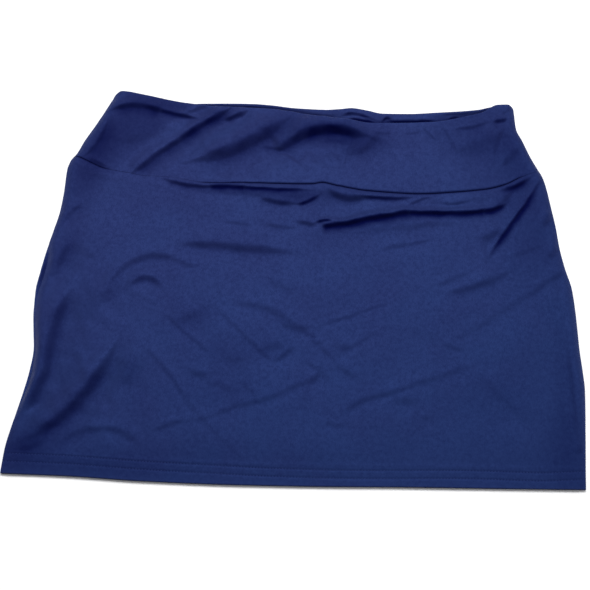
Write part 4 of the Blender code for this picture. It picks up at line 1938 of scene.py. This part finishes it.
@dataclass
class Coverstitch:
    """The two needle rows that hold a hem up.

    Args:
        name: the piece's name.
        slot: a name for its finish's slot; not used.
        panel: the panel that they are sewn through.
        segments: faces round a stitch.
        rings: faces along it.
    """

    name: str
    slot: str
    panel: Panel
    segments: int = 8
    rings: int = 6

    def one(self) -> tuple[Values, list[tuple[int, ...]]]:
        """One stitch: a short thread whose ends dive into the cloth.

        Returns:
            Its points, in millimetres along, across and up, and its faces.
        """
        deselect_all()
        bpy.ops.mesh.primitive_uv_sphere_add(segments=self.segments, ring_count=self.rings, radius=1)
        grain = bpy.context.active_object
        data = grain.data
        data.transform(Matrix.Rotation(math.radians(90), 4, "Y"))
        points = np.array([vertex.co for vertex in data.vertices])
        faces = [tuple(polygon.vertices) for polygon in data.polygons]
        bpy.data.objects.remove(grain)
        bpy.data.meshes.remove(data)
        half_length, half_width = 0.5 * STITCHING.thread_length, 0.5 * STITCHING.thread_width
        points = points * (half_length, half_width, half_width)
        points[:, 2] -= STITCHING.thread_dive * (points[:, 0] / half_length) ** 2
        return points, faces

    def build(self, finish: ThreadFinish) -> bpy.types.Object:
        """Sew both rows.

        Args:
            finish: the thread.

        Returns:
            All the stitches as one piece.
        """
        points, faces = self.one()
        out = 1.0 if self.panel.ply is Ply.FRONT else -1.0
        low = OUTLINE.hem(np.array([0.0]))
        first = math.ceil(self.panel.left(low)[0] / STITCHING.pitch)
        last = math.floor(OUTLINE.right(low)[0] / STITCHING.pitch)
        middles = np.tile(np.arange(first, last + 1) * STITCHING.pitch, 2)
        over = np.repeat((0.0, STITCHING.gauge), last + 1 - first)
        x = middles[:, None] + np.array([-0.5, 0.0, 0.5]) * STITCHING.thread_length
        y = OUTLINE.hem(x) + OUTLINE.needle_row(x) + over[:, None]
        off_side = np.minimum(x - self.panel.left(y), OUTLINE.right(y) - x).min(axis=1)
        kept = off_side > STITCHING.side_gap
        x, y = x[kept], y[kept]
        rise, _ = self.panel.creases(x, y)
        z, _ = self.panel.face(x, y, rise)
        ahead = np.stack([of[:, 2] - of[:, 0] for of in (x, y, z)], axis=1)
        ahead /= np.linalg.norm(ahead, axis=1, keepdims=True)
        beside = np.stack((-ahead[:, 1], ahead[:, 0], np.zeros(len(ahead))), axis=1)
        beside /= np.linalg.norm(beside, axis=1, keepdims=True)
        above = np.cross(ahead, beside) * out
        stand = STITCHING.thread_stand * out * STITCHING.thread_width
        base = np.stack((x[:, 1], y[:, 1], z[:, 1] + stand), axis=1)
        axes = np.stack((ahead, beside, above), axis=1)
        laid = (base[:, None, :] + points @ axes).reshape(-1, 3)
        turned = faces if out > 0 else [face[::-1] for face in faces]
        starts = range(0, len(laid), len(points))
        all_faces = [tuple(start + i for i in face) for start in starts for face in turned]
        laid[:, 2] = np.clip(laid[:, 2], 0.0, None)
        data = bpy.data.meshes.new(self.name)
        data.from_pydata((laid * METRES_PER_MM).tolist(), [], all_faces)
        data.shade_smooth()
        data.materials.append(finish.material(self.name))
        piece = bpy.data.objects.new(self.name, data)
        bpy.context.scene.collection.objects.link(piece)
        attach(piece, "root")
        return piece


def skirt_wall(x: Values, y: Values) -> Values:
    """Thickness of a skirt panel: double in its hem, single above it."""
    return CLOTH.single + (CLOTH.hem - CLOTH.single) * into_hem(x, y, CLOTH.hem_fade)


def yoke_wall(x: Values, y: Values) -> Values:
    """Thickness of a yoke, which is folded over at the waist."""
    return np.full(np.shape(x), CLOTH.yoke)


@dataclass
class Skirt:
    """The whole skirt: two panels, two yokes and the hem's stitches.

    Args:
        seam_gap: clearance between yoke and skirt where their seam is drawn in fully.
        seam_gap_least: share of that where the seam isn't drawn in at all.
        knit: the cloth.
        thread: the sewing thread.
        edge_rows: close rows by an edge.
        hem_rows: close rows from the hem's edge to over its needle rows.
        seam_rows: close rows from the yoke seam to under the creases that hang from it.
    """

    seam_gap: float = 0.16
    seam_gap_least: float = 0.1
    knit: KnitFinish = field(default_factory=KnitFinish)
    thread: ThreadFinish = field(default_factory=ThreadFinish)
    edge_rows: Sequence[float] = (0.0, 0.12, 0.3, 0.55, 0.9, 1.5, 2.3)
    hem_rows: Sequence[float] = (0.0, 0.12, 0.3, 0.55, 0.9, 1.5, 2.3, *np.arange(3.2, 19.0, 0.8))
    seam_rows: Sequence[float] = (0.0, 0.12, 0.3, 0.55, 0.9, 1.5, 2.3, *np.arange(3.2, 46.0, 0.9))

    def panels(self) -> list[Panel]:
        """The four cut pieces, from the floor up."""

        def gap(x: Values) -> Values:
            """Half the clearance at the seam."""
            least = self.seam_gap_least
            return 0.5 * self.seam_gap * (least + (1 - least) * OUTLINE.seam_draw(x))

        return [
            Panel(
                name="cloth_skirt_back",
                node="skirt_back",
                slot="navy_knit_back",
                ply=Ply.BACK,
                low=OUTLINE.hem,
                high=lambda x: OUTLINE.back_seam(x) - gap(x),
                wall=skirt_wall,
                cell=3.0,
                low_stations=self.hem_rows,
                high_stations=self.edge_rows,
                flat=(0.463, 0.279),
                rests_on=[],
                is_yoke=False,
            ),
            Panel(
                name="cloth_yoke_back",
                node="yoke_back",
                slot="navy_knit_yoke_back",
                ply=Ply.BACK,
                low=lambda x: OUTLINE.back_seam(x) + gap(x),
                high=OUTLINE.back_waist,
                wall=yoke_wall,
                cell=1.2,
                low_stations=self.edge_rows,
                high_stations=self.edge_rows,
                flat=(0.398, 0.086),
                rests_on=[],
                is_yoke=True,
            ),
            Panel(
                name="cloth_skirt_front",
                node="skirt_front",
                slot="navy_knit_front",
                ply=Ply.FRONT,
                low=OUTLINE.hem,
                high=lambda x: OUTLINE.front_seam(x) - gap(x),
                wall=skirt_wall,
                cell=1.85,
                low_stations=self.hem_rows,
                high_stations=self.seam_rows,
                flat=(0.463, 0.279),
                rests_on=["cloth_skirt_back"],
                is_yoke=False,
            ),
            Panel(
                name="cloth_yoke_front",
                node="yoke_front",
                slot="navy_knit_yoke_front",
                ply=Ply.FRONT,
                low=lambda x: OUTLINE.front_seam(x) + gap(x),
                high=OUTLINE.front_waist,
                wall=yoke_wall,
                cell=0.9,
                low_stations=self.edge_rows,
                high_stations=self.edge_rows,
                flat=(0.398, 0.09),
                rests_on=["cloth_yoke_back"],
                is_yoke=True,
            ),
        ]

    def build(self) -> list[bpy.types.Object]:
        """Lay the cloth, sew the hems, attach each piece to the root body and hide its solid.

        Returns:
            The pieces, each panel before its stitches.
        """
        pieces = []
        for panel in self.panels():
            piece = panel.build(self.knit)
            sewn_on = []
            if not panel.is_yoke:
                rows = Coverstitch(f"coverstitch_{panel.ply.value}", panel.slot, panel)
                sewn_on.append(rows.build(self.thread))
            panel.declare(piece, sewn_on)
            pieces += [piece, *sewn_on]
        return pieces


# --------------------------------------------------------------------------------------
# Studio
# --------------------------------------------------------------------------------------


@dataclass(frozen=True)
class SoftBox:
    """One soft lamp that faces the skirt.

    Args:
        name: the lamp's name.
        place: where it stands, in metres.
        size: its width, in metres.
        power: its power, in watts.
    """

    name: str
    place: tuple[float, float, float]
    size: float
    power: float

    def build(self) -> None:
        """Hang the lamp."""
        lamp = bpy.data.lights.new(self.name, "AREA")
        lamp.size = self.size
        lamp.energy = self.power
        box = bpy.data.objects.new(self.name, lamp)
        bpy.context.scene.collection.objects.link(box)
        box.location = self.place
        box.rotation_euler = (-Vector(self.place)).to_track_quat("-Z", "Y").to_euler()


@dataclass(frozen=True)
class Studio:
    """A pale floor and soft light from the waist's side.

    Args:
        floor_size: width of the floor, in metres.
        floor_drop: how far it lies under the cloth, in metres.
        sky: colour of the light from all round.
        sky_strength: its strength.
        lamps: the soft lamps.
    """

    floor_size: float = 9.0
    floor_drop: float = 0.0001
    sky: tuple = (1.0, 1.0, 1.0, 1.0)
    sky_strength: float = 0.3
    lamps: tuple = (
        SoftBox("waist_box", (-0.02, 0.92, 1.8), 0.9, 45.5),
        SoftBox("left_box", (-1.6, 0.3, 0.5), 0.8, 3.0),
        SoftBox("right_box", (1.6, 0.05, 0.5), 0.8, 5.0),
    )

    def build(self) -> None:
        """Lay the floor and set the light."""
        deselect_all()
        bpy.ops.mesh.primitive_plane_add(size=self.floor_size, location=(0, 0, 0))
        floor = bpy.context.active_object
        floor.name = "floor"
        floor.data.transform(Matrix.Translation((0, 0, -self.floor_drop)))
        floor.data.materials.append(FloorFinish().material("floor_paper"))
        world = bpy.data.worlds.new("studio")
        world.use_nodes = True
        background = world.node_tree.nodes["Background"]
        background.inputs[0].default_value = self.sky
        background.inputs[1].default_value = self.sky_strength
        bpy.context.scene.world = world
        for lamp in self.lamps:
            lamp.build()
        bpy.context.scene.view_settings.view_transform = "Standard"


@dataclass(frozen=True)
class PhotoCamera:
    """The camera, above the hem and looking down on the front.

    Args:
        elevation: degrees over the horizon.
        distance: from its aim, in metres.
        roll: degrees that it is turned, which turns the picture the other way.
        aim: the place on the floor that it looks at, in millimetres.
        lens: focal length, in millimetres on its sensor.
        sensor: width of that sensor, in millimetres.
    """

    elevation: float = 70.0
    distance: float = 1.125
    roll: float = 2.0
    aim: tuple[float, float] = (-4.96, -10.68)
    lens: float = 83.18
    sensor: float = 36.0

    def build(self) -> None:
        """Set the camera up as the scene's own."""
        rise = math.radians(self.elevation)
        turn = math.radians(self.roll)
        back = Vector((0, -math.cos(rise), math.sin(rise)))
        right = Vector((1, 0, 0))
        up = back.cross(right)
        rolled_right = right * math.cos(turn) + up * math.sin(turn)
        rolled_up = up * math.cos(turn) - right * math.sin(turn)
        aim = Vector((*self.aim, 0)) * METRES_PER_MM
        axes = Matrix((rolled_right, rolled_up, back)).transposed().to_4x4()
        data = bpy.data.cameras.new("photo_camera")
        data.lens = self.lens
        data.sensor_width = self.sensor
        camera = bpy.data.objects.new("photo_camera", data)
        bpy.context.scene.collection.objects.link(camera)
        camera.matrix_world = Matrix.Translation(aim + back * self.distance) @ axes
        bpy.context.scene.camera = camera


def main() -> None:
    """Build the skirt, the studio and the camera."""
    logging.basicConfig(level=logging.INFO, format="%(name)s: %(message)s")
    PhotoCamera().build()
    for piece in Skirt().build():
        LOG.info("%s: %d faces", piece.name, len(piece.data.polygons))
    Studio().build()


if __name__ == "__main__":
    main()
